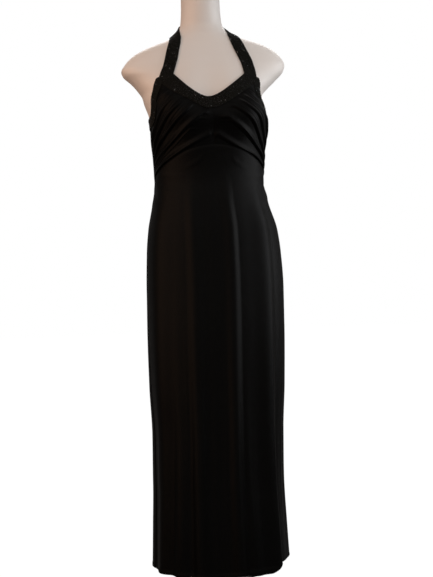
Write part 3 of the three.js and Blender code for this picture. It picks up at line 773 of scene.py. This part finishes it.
class BeadSizes(bpy.types.PropertyGroup):
    """Sizes and colours of the beaded trims."""

    bead_radius: length_property("Bead radius", "Radius of one bead", 0.00105)
    bead_pitch: length_property("Bead pitch", "From bead to bead", 0.0024)
    bead_colour: colour_property("Bead colour", "Mean colour of the beads", (0.0125, 0.0125, 0.011))


class FormSizes(bpy.types.PropertyGroup):
    """Finish of the display form and its stand."""

    form_colour: colour_property("Form colour", "Satin paint", SLOT_COLOURS["form_skin"])
    form_roughness: share_property("Form roughness", "Gloss of the paint", 0.42)
    steel_colour: colour_property(
        "Steel colour", "Pole, socket, collar and base", SLOT_COLOURS["stand_metal"]
    )
    steel_roughness: share_property("Steel roughness", "Polish of the steel", 0.22)


class StudioSizes(bpy.types.PropertyGroup):
    """Camera, floor and light of the stage."""

    camera_distance: length_property("Camera distance", "From the pole", 2.5)
    camera_height: length_property("Camera height", "Above the floor", 0.727)
    camera_azimuth: angle_property(
        "Camera azimuth", "Round from the front, towards the wearer's left", -10
    )
    camera_roll: angle_property("Camera roll", "Clockwise", 2.2)
    lens: bpy.props.FloatProperty(
        name="Lens", description="Focal length", default=59.5, unit="CAMERA"
    )
    floor_colour: colour_property("Floor colour", "Pale floor", (0.9, 0.9, 0.9))
    key_power: bpy.props.FloatProperty(
        name="Key light", description="Soft light from the right", default=16.5, unit="POWER"
    )


SETTINGS = {
    "halter_dress": HalterDressSizes,
    "halter_beads": BeadSizes,
    "halter_form": FormSizes,
    "halter_studio": StudioSizes,
}
FINISHES = {}


def finish_of(name):
    """One material for each finish, made when it is first asked for."""
    scene = bpy.context.scene
    dress, trim, form = scene.halter_dress, scene.halter_beads, scene.halter_form
    makers = {
        "jersey": lambda: black_jersey(dress.jersey_colour[:], dress.sheen),
        "ground": lambda: bead_ground(trim.bead_colour[:]),
        "beads": lambda: jet_beads(trim.bead_colour[:]),
        "lacquer": lambda: form_lacquer(form.form_colour[:], form.form_roughness),
        "steel": lambda: turned_steel(form.steel_colour[:], form.steel_roughness),
    }
    if name not in FINISHES:
        FINISHES[name] = makers[name]()
    return FINISHES[name]


def dip(distance, depth, width=7.0):
    """How far an edge dips under its neighbour, at a distance from the seam line."""
    return depth * (1 - smooth(distance, 0, width))


def turned_hem(angle, z):
    """Height of the turned hem: a faint step at its stitching and a soft roll below it."""
    stitching = 20 + 2 * np.sin(np.radians(angle * 5))
    step = 0.35 * (1 - smooth(z, stitching, stitching + 1.5))
    return step + 0.5 * np.exp(-(((z - 15) / 6) ** 2))


def long_panel(name, first, last, top_z, settings, tucked_sides):
    """A long panel between two side seams, from the hem to its top edge."""
    tuck = settings.tuck / MM
    columns, rows = 220, 205
    top_allowance = 3
    side_allowance = 1.6 if tucked_sides else 0.0  # in degrees, under the next panel
    angle = np.linspace(first - side_allowance, last + side_allowance, columns + 1)[None, :]
    even = np.linspace(0, 1, rows + 1)[:, None]
    share = lerp(even, (1 - np.cos(math.pi * even)) / 2, 0.5)  # rows lie closer at both ends
    on_panel = np.clip(angle, first, last)
    seam_z = top_z(on_panel)
    top = seam_z + top_allowance
    z = lerp(column(HEM, "z", on_panel, key="angle"), top, share)
    angle = np.broadcast_to(angle, z.shape)
    fine = (ripples(angle, z) + drag(angle, z)) * smooth(top - z, 0, 25)
    from_side = np.minimum(angle - first, last - angle) * math.pi / 180 * MEAN_RADIUS
    side_dip = dip(from_side, tuck) if tucked_sides else dip(from_side, 0.5, 4)
    out = fine + turned_hem(angle, z) - (dip(seam_z - z, tuck) + side_dip)
    outer = raised(dress_skin, angle, z, out)
    inner = raised(dress_skin, angle, z, out - settings.jersey_thickness / MM)
    return grid_mesh(name, outer, inner)


def drape_height(folds, angle, z, share):
    """Height of the drape's folds, sharper on the side where the cloth tucks under."""
    height = np.zeros(np.broadcast(angle, z).shape)
    for start, start_z, side_z, start_half, side_half, tall in zip(*folds.values()):
        run = np.clip((angle - start) / (SIDE_SEAM - start), 0, 1)
        wander = FOLD_WANDER * np.sin(run * 7 + start)
        centre = side_z + (start_z - side_z) * (1 - run) ** FOLD_SAG + wander
        half = lerp(start_half, side_half, run)
        born = smooth(angle, start + FOLD_BIRTH[0], start + FOLD_BIRTH[1])
        height += tall * born * ridge((z - centre) / half, FOLD_SKEW)
    at_centre = lerp(FOLD_AT_CENTRE, 1, smooth(share, 0, 0.25))
    at_side = lerp(1, FOLD_AT_SIDE, smooth(share, 0.6, 1))
    return height * (at_centre * at_side)


def drape_patch(p, q, hand):
    """Angle and height on half of the bodice: p from the centre front and neckline trim to
    the side seam, q from the seam under the bust to the armhole trim."""
    bend = 10 / 26  # up to here the patch's edge is the centre seam, and then the neckline trim
    neck_angle, neck_z = neck_lower(np.clip((q - bend) / (1 - bend), 0, None), hand)
    seam_angle, seam_z = (float(value) for value in neck_lower(np.array(0.0), hand))
    foot_angle, foot_z = hand * SEAM_FOOT_ANGLE, float(underbust_z(SEAM_FOOT_ANGLE))
    on_seam = q < bend
    left_angle = np.where(on_seam, lerp(foot_angle, seam_angle, q / bend), neck_angle)
    left_z = np.where(on_seam, lerp(foot_z, seam_z, q / bend), neck_z)
    top_angle, top_z = arm_inner(p)
    side_top = float(arm_inner(np.array(1.0))[1])
    right_z = lerp(UNDERBUST_SIDE, side_top, 0.4 * q + 0.6 * q * q)
    bottom_angle = lerp(foot_angle, SIDE_SEAM, p)
    angle = (
        lerp(left_angle, SIDE_SEAM, p)
        + lerp(bottom_angle, top_angle, q)
        - lerp(bottom_angle, lerp(LOWER_CORNER[0], SIDE_SEAM, p), q)
    )
    z = (
        lerp(left_z, right_z, p)
        + lerp(underbust_z(bottom_angle), top_z, q)
        - lerp(lerp(foot_z, UNDERBUST_SIDE, p), lerp(LOWER_CORNER[1], side_top, p), q)
    )
    return angle, z


def facing_out(outer, inner, hand):
    """Both grids of a wall, turned round on the mirrored side to face outwards again."""
    return (outer, inner) if hand > 0 else (outer[:, ::-1], inner[:, ::-1])


def draped_half(name, folds, hand, settings):
    """One pleated half of the bodice; hand is 1 on the wearer's left and -1 on the right."""
    tuck, flat_tuck = settings.tuck / MM, 0.25
    p = np.linspace(-0.025, 1.012, 170)[None, :]  # a little past the seams, for allowance
    q = np.linspace(0, 1.02, 230)[:, None]
    p, q = np.broadcast_arrays(p, q)
    angle, z = drape_patch(p, q, hand)
    height = drape_height(folds, angle, z, p)
    size = 125  # rough width and height of the patch, which turn shares into millimetres
    from_centre, from_side, from_armhole = p * size, (1 - p) * size, (1 - q) * size
    under_trim = smooth(q, 0.36, 0.42)
    centre_tuck = lerp(tuck if hand > 0 else flat_tuck, tuck, under_trim)
    seam_dip = dip(from_centre, centre_tuck, 6)
    inside = smooth(from_centre, -1, 7)
    for distance in (from_side, from_armhole):
        seam_dip = np.maximum(seam_dip, dip(distance, tuck, 6))
        inside = inside * smooth(distance, -1, 7)
    out = height * lerp(0.35, 1, inside) - seam_dip + 0.25
    outer = raised(dress_skin, hand * angle, z, out)
    inner = raised(dress_skin, hand * angle, z, out - settings.jersey_thickness / MM)
    return grid_mesh(name, *facing_out(outer, inner, hand))


def strip_shares(length_steps, width_steps=14):
    """Shares along and across a strip of trim, as two grids."""
    t = np.linspace(0, 1, length_steps + 1)[None, :]
    w = np.linspace(0, 1, width_steps + 1)[:, None]
    return np.broadcast_arrays(t, w)


def trim_dome(w):
    """Height of a trim over the jersey, from one long edge to the other."""
    return TRIM_PROUD - TRIM_FALL * np.abs(2 * w - 1) ** 6


def band_walls(angle, z, w, hand=1):
    """Both grids of a slightly domed strip of trim that lies on the form like the jersey."""
    outer = raised(dress_skin, hand * angle, z, trim_dome(w))
    inner = raised(dress_skin, hand * angle, z, np.full(w.shape, -WALL))
    return facing_out(outer, inner, hand)


def neck_band(hand):
    """The neckline trim, from its mitre at the centre front to the strap."""
    t, w = strip_shares(70)
    lower, upper = neck_lower(t, hand), neck_edge(t, hand)
    return band_walls(lerp(lower[0], upper[0], w), lerp(lower[1], upper[1], w), w, hand)


def armhole_band(hand):
    """The armhole trim; its upper end follows the strap, then steps out to a small ledge."""
    t, w = strip_shares(80)
    inner_line, outer_line = arm_inner(t), arm_edge(t)
    first = np.clip(w / STRAP_SHARE, 0, 1)
    second = np.clip((w - STRAP_SHARE) / (1 - STRAP_SHARE), 0, 1)
    grids = []
    for axis in (0, 1):
        low, strap, ledge = LOWER_CORNER[axis], OUTER_CORNER[axis], LEDGE_CORNER[axis]
        stepped = lerp(lerp(low, strap, first), ledge, second)
        added = (stepped - lerp(low, ledge, w)) * (1 - t) ** 3
        grids.append(lerp(inner_line[axis], outer_line[axis], w) + added)
    return band_walls(*grids, w, hand)


def back_band():
    """The trim along the back edge, from side seam to side seam."""
    t, w = strip_shares(240)
    angle = lerp(SIDE_SEAM, 360 - SIDE_SEAM, t)
    return band_walls(angle, lerp(back_seam_z(angle), back_edge_z(angle), w), w)


def strap_rows():
    """The strap's centre line as a table, with an angle on the form for every row."""
    rows = []
    for row in STRAP_LINE:
        angle = row.get("angle")
        if angle is None:
            angle = float(front_angle(np.array(float(row["x"])), row["z"], form_skin))
        rows.append((len(rows), angle, row["z"], row["width"]))
    return table("index angle z width", *rows)


def nearest_on_form(points, angle, z):
    """Places on the form's skin nearest to some points, by Newton steps."""
    turn, rise = 0.3, 0.6
    for _ in range(6):
        here = form_skin(angle, z)
        by_angle = (form_skin(angle + turn, z) - here) / turn
        by_z = (form_skin(angle, z + rise) - here) / rise
        off = points - here
        pairs = ((by_angle, by_angle), (by_angle, by_z), (by_z, by_z), (by_angle, off), (by_z, off))
        aa, ab, bb, ra, rb = [(m * n).sum(-1) for m, n in pairs]
        whole = aa * bb - ab * ab
        angle = angle + (bb * ra - ab * rb) / whole
        z = z + (aa * rb - ab * ra) / whole
    return angle, z


def strap_mitre(w):
    """The strap's cut end, mitred at the corner of the drape, from its outer edge inwards."""
    if w <= MITRE_SHARE:
        return [lerp(OUTER_CORNER[i], LOWER_CORNER[i], w / MITRE_SHARE) for i in (0, 1)]
    inward = (w - MITRE_SHARE) / (1 - MITRE_SHARE)
    return [lerp(LOWER_CORNER[i], INNER_CORNER[i], inward) for i in (0, 1)]


def strap_walls(hand, columns=150, rows=16):
    """Half of the halter strap, from its slanted end on the bodice to the nape."""
    line = strap_rows()
    last = len(STRAP_LINE) - 1
    t = np.linspace(0, 1, columns + 1)

    def read(name, at):
        return column(line, name, np.clip(at, 0, 1) * last, key="index")

    angle, z, width = read("angle", t), read("z", t), read("width", t)
    forward = form_skin(read("angle", t + 0.01), read("z", t + 0.01))
    forward = forward - form_skin(read("angle", t - 0.01), read("z", t - 0.01))
    out = raised(form_skin, angle, z, 1.0) - form_skin(angle, z)
    across = np.cross(out, forward)
    across /= np.linalg.norm(across, axis=-1, keepdims=True)
    slant = 1 - smooth(t, 0, 0.12)
    lift = lerp(STRAP_LIFT_CHEST, STRAP_LIFT_NAPE, smooth(t, 0.3, 0.7))
    outer, inner = [], []
    for w in np.linspace(0, 1, rows + 1):
        here = (angle.copy(), z.copy())
        for _ in range(4):
            reach = (width * (w - 0.5) / 4)[:, None]
            here = nearest_on_form(form_skin(*here) + across * reach, *here)
        end = strap_mitre(w)
        place_angle = np.minimum(lerp(here[0], end[0], slant), 180)
        place_z = lerp(here[1], end[1], slant)
        dome = WALL + trim_dome(w)
        on_form = [raised(form_skin, hand * place_angle, place_z, lift + h) for h in (dome, 0)]
        on_dress = [raised(dress_skin, hand * place_angle, place_z, h - WALL) for h in (dome, 0)]
        outer.append(lerp(on_form[0], on_dress[0], slant[:, None]))
        inner.append(lerp(on_form[1], on_dress[1], slant[:, None]))
    return facing_out(np.array(outer), np.array(inner), hand)


def bead_form():
    """Twelve corners and twenty faces of one cut bead, with a radius of 1."""
    golden = (1 + math.sqrt(5)) / 2
    corners = []
    for a in (-1, 1):
        for b in (-golden, golden):
            corners += [(0, a, b), (a, b, 0), (b, 0, a)]
    corners = np.array(corners) / math.hypot(1, golden)
    edge = 2 / math.hypot(1, golden)
    faces = []
    for i in range(12):
        for j in range(i + 1, 12):
            for k in range(j + 1, 12):
                trio = corners[[i, j, k]]
                sides = [np.linalg.norm(trio[m] - trio[n]) for m, n in ((0, 1), (1, 2), (2, 0))]
                if max(sides) < edge * 1.01:
                    turned = np.cross(trio[1] - trio[0], trio[2] - trio[0]) @ trio.mean(0) > 0
                    faces.append((i, j, k) if turned else (i, k, j))
    return corners, np.array(faces)


def random_turns(draw, count):
    """Random rotation matrices, from random quaternions."""
    q = draw.normal(size=(count, 4))
    w, x, y, z = (q / np.linalg.norm(q, axis=1, keepdims=True)).T
    rows = [
        [1 - 2 * (y * y + z * z), 2 * (x * y - w * z), 2 * (x * z + w * y)],
        [2 * (x * y + w * z), 1 - 2 * (x * x + z * z), 2 * (y * z - w * x)],
        [2 * (x * z - w * y), 2 * (y * z + w * x), 1 - 2 * (x * x + y * y)],
    ]
    return np.array(rows).transpose(2, 0, 1)


def lay_beads(name, outer, sizes, seed):
    """Beads in close uneven rows over a strip's outer grid, all in one mesh."""
    radius, pitch = sizes.bead_radius / MM, sizes.bead_pitch / MM
    along_jitter, across_jitter, row_spacing = 0.28, 0.24, 0.9  # shares of the pitch
    smallest, largest, shown = 0.86, 1.1, 0.45  # shares of the radius
    draw = np.random.RandomState(seed)
    rows, cols = outer.shape[:2]
    widths = np.linalg.norm(np.diff(outer, axis=0), axis=-1).sum(0)
    lengths = np.linalg.norm(np.diff(outer, axis=1), axis=-1).sum(1)
    lines = max(2, round((widths.mean() - 2 * radius) / (pitch * row_spacing)))
    places = []
    for line in range(lines):
        share = (line + 0.5) / lines
        count = max(2, round(float(np.interp(share, np.linspace(0, 1, rows), lengths)) / pitch))
        along = (np.arange(count) + 0.5 + 0.5 * (line % 2) - 0.25) / count
        along = along + draw.uniform(-along_jitter, along_jitter, count) / count
        across = share + draw.uniform(-across_jitter, across_jitter, count) / lines
        places.append(np.stack([along, across], -1))
    s, w = np.concatenate(places).T
    column_at = np.clip(s, 0.002, 0.998) * (cols - 1)
    row_at = np.clip(w, 0.03, 0.97) * (rows - 1)
    i, j = row_at.astype(int), column_at.astype(int)
    fi, fj = (row_at - i)[:, None], (column_at - j)[:, None]
    low = lerp(outer[i, j], outer[i, j + 1], fj)
    high = lerp(outer[i + 1, j], outer[i + 1, j + 1], fj)
    side = outer[i, j + 1] - outer[i, j]
    rise = outer[i + 1, j] - outer[i, j]
    normal = np.cross(side, rise)
    normal /= np.linalg.norm(normal, axis=-1, keepdims=True)
    size = radius * draw.uniform(smallest, largest, len(normal))
    centre = lerp(low, high, fi) + normal * (size * shown)[:, None]
    corners, faces = bead_form()
    turns = random_turns(draw, len(centre))
    bodies = np.einsum("nij,kj->nki", turns, corners) * size[:, None, None] + centre[:, None]
    points = bodies.reshape(-1, 3) * MM
    triangles = (faces[None] + 12 * np.arange(len(centre))[:, None, None]).reshape(-1, 3)
    mesh = bpy.data.meshes.new(name)
    mesh.from_pydata(points.tolist(), [], triangles.tolist())
    tone = mesh.attributes.new("bead_tone", "FLOAT", "POINT")
    tone.data.foreach_set("value", np.repeat(draw.rand(len(centre)), 12).astype(np.float32))
    mesh.update()
    return add_object(name, mesh)


def ring_mesh(name, rings):
    """A skin through closed rings of points, with flat ends."""
    count = rings.shape[1]
    points = rings.reshape(-1, 3) * MM
    index = np.arange(len(points)).reshape(rings.shape[:2])
    after = np.roll(index, -1, axis=1)
    faces = np.stack([index[:-1], after[:-1], after[1:], index[1:]], -1).reshape(-1, 4).tolist()
    faces += [index[0][::-1].tolist(), index[-1].tolist()]
    mesh = bpy.data.meshes.new(name)
    mesh.from_pydata(points.tolist(), [], faces)
    around = np.arange(len(points)) % count / count
    add_uvs(mesh, np.stack([around, points[:, 2]], -1))
    return finish_mesh(name, mesh, 35)


def turned_piece(name, profile, around=96):
    """A turned piece from a closed profile of radii and heights, in millimetres."""
    angle = np.linspace(0, 2 * math.pi, around, endpoint=False)
    rings = np.array([
        np.stack([r * np.cos(angle), r * np.sin(angle), np.full(around, h)], -1)
        for r, h in profile
    ])
    return ring_mesh(name, rings)


def rounded(radius, low, high, edge, steps=5):
    """Rim of a disc whose upper edge is rounded: radii and heights from low to high."""
    turn = np.linspace(0, math.pi / 2, steps)
    rim = [(radius - edge + edge * math.cos(a), high - edge + edge * math.sin(a)) for a in turn]
    return [(radius, low), *rim]


class SEW_OT_long_panels(bpy.types.Operator):
    """Make the long front and back panels of jersey"""

    bl_idname = "halter.long_panels"
    bl_label = "Long panels"

    def execute(self, context):
        settings = context.scene.halter_dress
        cuts = (
            ("skirt_front", -SIDE_SEAM, SIDE_SEAM, underbust_z, True, (0.62, 1.10)),
            ("back_panel", SIDE_SEAM, 360 - SIDE_SEAM, back_seam_z, False, (0.64, 1.17)),
        )
        for node, first, last, top_z, tucked, flat in cuts:
            piece = long_panel(f"jersey_{node}", first, last, top_z, settings, tucked)
            put_on(piece, node, finish_of("jersey"))
        return {"FINISHED"}


class SEW_OT_drapes(bpy.types.Operator):
    """Make the two pleated halves of the bodice"""

    bl_idname = "halter.drapes"
    bl_label = "Bodice drapes"

    def execute(self, context):
        settings = context.scene.halter_dress
        for side, folds, hand in (("left", DRAPE_LEFT, 1), ("right", DRAPE_RIGHT, -1)):
            piece = draped_half(f"jersey_drape_{side}", folds, hand, settings)
            put_on(piece, f"bodice_drape_{side}", finish_of("jersey"))
        return {"FINISHED"}


class SEW_OT_beaded_trims(bpy.types.Operator):
    """Make the beaded trims and halter straps"""

    bl_idname = "halter.beaded_trims"
    bl_label = "Beaded trims and straps"

    def execute(self, context):
        sizes = context.scene.halter_beads
        strips = [
            ("neck_trim_left", neck_band(1), (0.15, 0.036)),
            ("neck_trim_right", neck_band(-1), (0.135, 0.036)),
            ("armhole_trim_left", armhole_band(1), (0.15, 0.036)),
            ("armhole_trim_right", armhole_band(-1), (0.15, 0.036)),
            ("back_trim", back_band(), (0.40, 0.030)),
            ("halter_strap_left", strap_walls(1), (0.26, 0.036)),
            ("halter_strap_right", strap_walls(-1), (0.26, 0.036)),
        ]
        for seed, (node, (outer, inner), flat) in enumerate(strips):
            strip = grid_mesh(f"ground_{node}", outer, inner)
            put_on(strip, node, finish_of("ground"))
            beads = lay_beads(f"beads_{node}", outer, sizes, seed)
            put_on(beads, None, finish_of("beads"))
        return {"FINISHED"}


class SEW_OT_display_form(bpy.types.Operator):
    """Make the limbless form and its neck cap"""

    bl_idname = "halter.display_form"
    bl_label = "Display form"

    def execute(self, context):
        around = np.linspace(0, 360, 181)[:-1]
        around = around + 11 * np.sin(np.radians(2 * around))  # closer together at the sides
        heights = np.concatenate([
            [FORM_BOTTOM_Z, FORM_BOTTOM_Z + 0.6, FORM_BOTTOM_Z + 2],
            np.linspace(FORM_BOTTOM_Z + 5, NECK_TOP_Z - 2, 190),
            [NECK_TOP_Z - 0.5, NECK_TOP_Z],
        ])
        rings = form_skin(around[None, :], heights[:, None])
        rolled = 1 - np.array([2.0, 0.7, 0]) / MEAN_RADIUS  # rounds the lower rim
        rings[:3, :, :2] *= rolled[:, None, None]
        form = ring_mesh("form_lacquered", rings)
        put_on(form, "form_torso", finish_of("lacquer"))
        cap = self.neck_cap()
        put_on(cap, "neck_cap", finish_of("lacquer"))
        return {"FINISHED"}

    @staticmethod
    def neck_cap():
        """A plain cap with a rounded rim and a low dome."""
        around = np.linspace(0, 360, 97)[:-1]
        rim = form_skin(around, np.full(around.shape, float(NECK_TOP_Z)))
        centre = np.array([0, (rim[0, 1] + rim[48, 1]) / 2, NECK_TOP_Z])
        foot, rim_share = NECK_TOP_Z + 0.3, 0.99
        profile = [(1.0, 0), (1.018, 0.4), (1.024, 1.6), (1.018, 2.9), (rim_share, CAP_RIM)]
        for turn in np.linspace(0.15, 1.45, 9):
            rise = CAP_RIM + (CAP_HEIGHT - CAP_RIM) * math.sin(turn)
            profile.append((rim_share * math.cos(turn), rise))
        rings = []
        for grow, rise in profile:
            ring = (rim - centre) * [grow, grow, 1] + centre
            ring[:, 2] = foot + rise
            rings.append(ring)
        return ring_mesh("cap_lacquered", np.array(rings))


class SEW_OT_stand(bpy.types.Operator):
    """Make the base, collar, pole and socket"""

    bl_idname = "halter.stand"
    bl_label = "Stand"

    def execute(self, context):
        bore = POLE_RADIUS + POLE_PLAY
        foot, collar_top = BASE_THICKNESS, BASE_THICKNESS + COLLAR_HEIGHT
        mouth, flange = FORM_BOTTOM_Z - SOCKET_HEIGHT, FORM_BOTTOM_Z - FLANGE_THICKNESS
        profiles = {
            "stand_base": rounded(BASE_RADIUS, 0, BASE_THICKNESS, 1.5),
            "stand_pole": [(POLE_RADIUS, foot), (POLE_RADIUS, mouth + POLE_IN_SOCKET - POLE_PLAY)],
            "stand_collar": [
                (bore, foot), *rounded(COLLAR_RIM, foot, foot + 4, 1),
                (COLLAR_RADIUS + 4, foot + 6), *rounded(COLLAR_RADIUS, foot + 9, collar_top, 1.2),
                (bore, collar_top),
            ],
            "form_socket": [
                (bore, mouth), (SOCKET_RADIUS, mouth), (SOCKET_RADIUS, flange - 3),
                (SOCKET_RADIUS + 2, flange), (FLANGE_RADIUS, flange),
                (FLANGE_RADIUS, FORM_BOTTOM_Z),
            ],
        }
        for node, profile in profiles.items():
            piece = turned_piece(f"steel_{node}", profile)
            put_on(piece, node, finish_of("steel"))
        return {"FINISHED"}


class SEW_OT_studio(bpy.types.Operator):
    """Set the camera, floor and soft light"""

    bl_idname = "halter.studio"
    bl_label = "Studio"

    def execute(self, context):
        studio = context.scene.halter_studio
        self.camera(studio)
        self.floor(studio)
        self.lights(studio)
        self.world()
        context.scene.view_settings.view_transform = "Standard"
        context.scene.view_settings.look = "None"
        return {"FINISHED"}

    @staticmethod
    def camera(studio):
        """A level camera on the wearer's right, aimed a little beside the pole."""
        data = bpy.data.cameras.new("studio_camera")
        data.lens = studio.lens
        data.sensor_width = 36
        camera = add_object("studio_camera", data)
        turn = studio.camera_azimuth
        back = Vector((math.sin(turn), -math.cos(turn), 0))
        across = Vector((math.cos(turn), math.sin(turn), 0))
        beside = 0.0144
        eye = back * studio.camera_distance + Vector((0, 0, studio.camera_height))
        target = across * beside + Vector((0, 0, studio.camera_height))
        ahead = (target - eye).normalized()
        right = ahead.cross(Vector((0, 0, 1))).normalized()
        up = right.cross(ahead)
        roll = studio.camera_roll
        tilted_up = up * math.cos(roll) + right * math.sin(roll)
        tilted_right = right * math.cos(roll) - up * math.sin(roll)
        turned = Matrix((tilted_right, tilted_up, -ahead)).transposed().to_4x4()
        camera.matrix_world = Matrix.Translation(eye) @ turned
        bpy.context.scene.camera = camera

    @staticmethod
    def floor(studio):
        radius, around = 14.0, 96
        angle = np.linspace(0, 2 * math.pi, around, endpoint=False)
        rim = [(radius * math.cos(a), radius * math.sin(a), 0) for a in angle]
        mesh = bpy.data.meshes.new("studio_floor")
        mesh.from_pydata(rim, [], [list(range(around))])
        mesh.materials.append(pale_floor(studio.floor_colour[:]))
        floor = add_object("studio_floor", mesh)

    @staticmethod
    def lights(studio):
        """A soft box on the viewer's right, a large warm one on the left, and two broad fills."""
        sources = (
            ("key", "AREA", (1.36, -0.42, 1.15), studio.key_power, 1.3, (0.97, 0.98, 1.0)),
            ("left_bounce", "AREA", (-1.6, -0.7, 1.2), 19.0, 1.9, (1.0, 0.62, 0.42)),
            ("above", "SUN", (-0.1, -0.79, 0.62), 1.0, 90, (1.0, 0.95, 0.91)),
            ("rear", "SUN", (0.25, 0.95, 0.95), 1.5, 50, (1.0, 0.97, 0.95)),
        )
        for name, kind, place, power, spread, colour in sources:
            data = bpy.data.lights.new(f"{name}_light", kind)
            data.energy = power
            if kind == "SUN":
                data.angle = math.radians(spread)
            else:
                data.size = spread
            data.color = colour
            light = add_object(f"{name}_light", data)
            light.location = place
            towards = Vector(place) - Vector((0, 0, 0 if kind == "SUN" else 0.95))
            light.rotation_mode = "QUATERNION"
            light.rotation_quaternion = towards.to_track_quat("Z", "Y")
            light.visible_camera = False

    @staticmethod
    def world():
        """A white backdrop for the camera, and a dimmer soft surround for the light."""
        world = bpy.data.worlds.new("studio_surround")
        shader = Shader(world)
        seen = shader.node("ShaderNodeLightPath", output="Is Camera Ray")
        soft = {"Color": rgba((1.0, 0.96, 0.93)), "Strength": 0.15}
        surround = shader.node("ShaderNodeBackground", {}, soft)
        backdrop = shader.node("ShaderNodeBackground", {}, {"Color": rgba((1, 1, 1))})
        either = shader.node("ShaderNodeMixShader", {}, {0: seen, 1: surround, 2: backdrop})
        shader.node("ShaderNodeOutputWorld", {}, {"Surface": either})
        bpy.context.scene.world = world


OPERATORS = (
    SEW_OT_studio,
    SEW_OT_display_form,
    SEW_OT_stand,
    SEW_OT_long_panels,
    SEW_OT_drapes,
    SEW_OT_beaded_trims,
)


class VIEW3D_PT_halter_dress(bpy.types.Panel):
    """Lists the pieces of the halter dress"""

    bl_label = "Halter Dress"
    bl_space_type = "VIEW_3D"
    bl_region_type = "UI"
    bl_category = "Halter Dress"

    def draw(self, context):
        for operator in OPERATORS:
            self.layout.operator(operator.bl_idname)
        for name, group in SETTINGS.items():
            box = self.layout.box()
            for field in group.__annotations__:
                box.prop(getattr(context.scene, name), field)


CLASSES = (*SETTINGS.values(), *OPERATORS, VIEW3D_PT_halter_dress)


def register():
    for cls in CLASSES:
        bpy.utils.register_class(cls)
    for name, group in SETTINGS.items():
        setattr(bpy.types.Scene, name, bpy.props.PointerProperty(type=group))


def unregister():
    for name in SETTINGS:
        delattr(bpy.types.Scene, name)
    for cls in reversed(CLASSES):
        bpy.utils.unregister_class(cls)


def main():
    register()
    for operator in OPERATORS:
        group, name = operator.bl_idname.split(".")
        getattr(getattr(bpy.ops, group), name)()


if __name__ == "__main__":
    main()
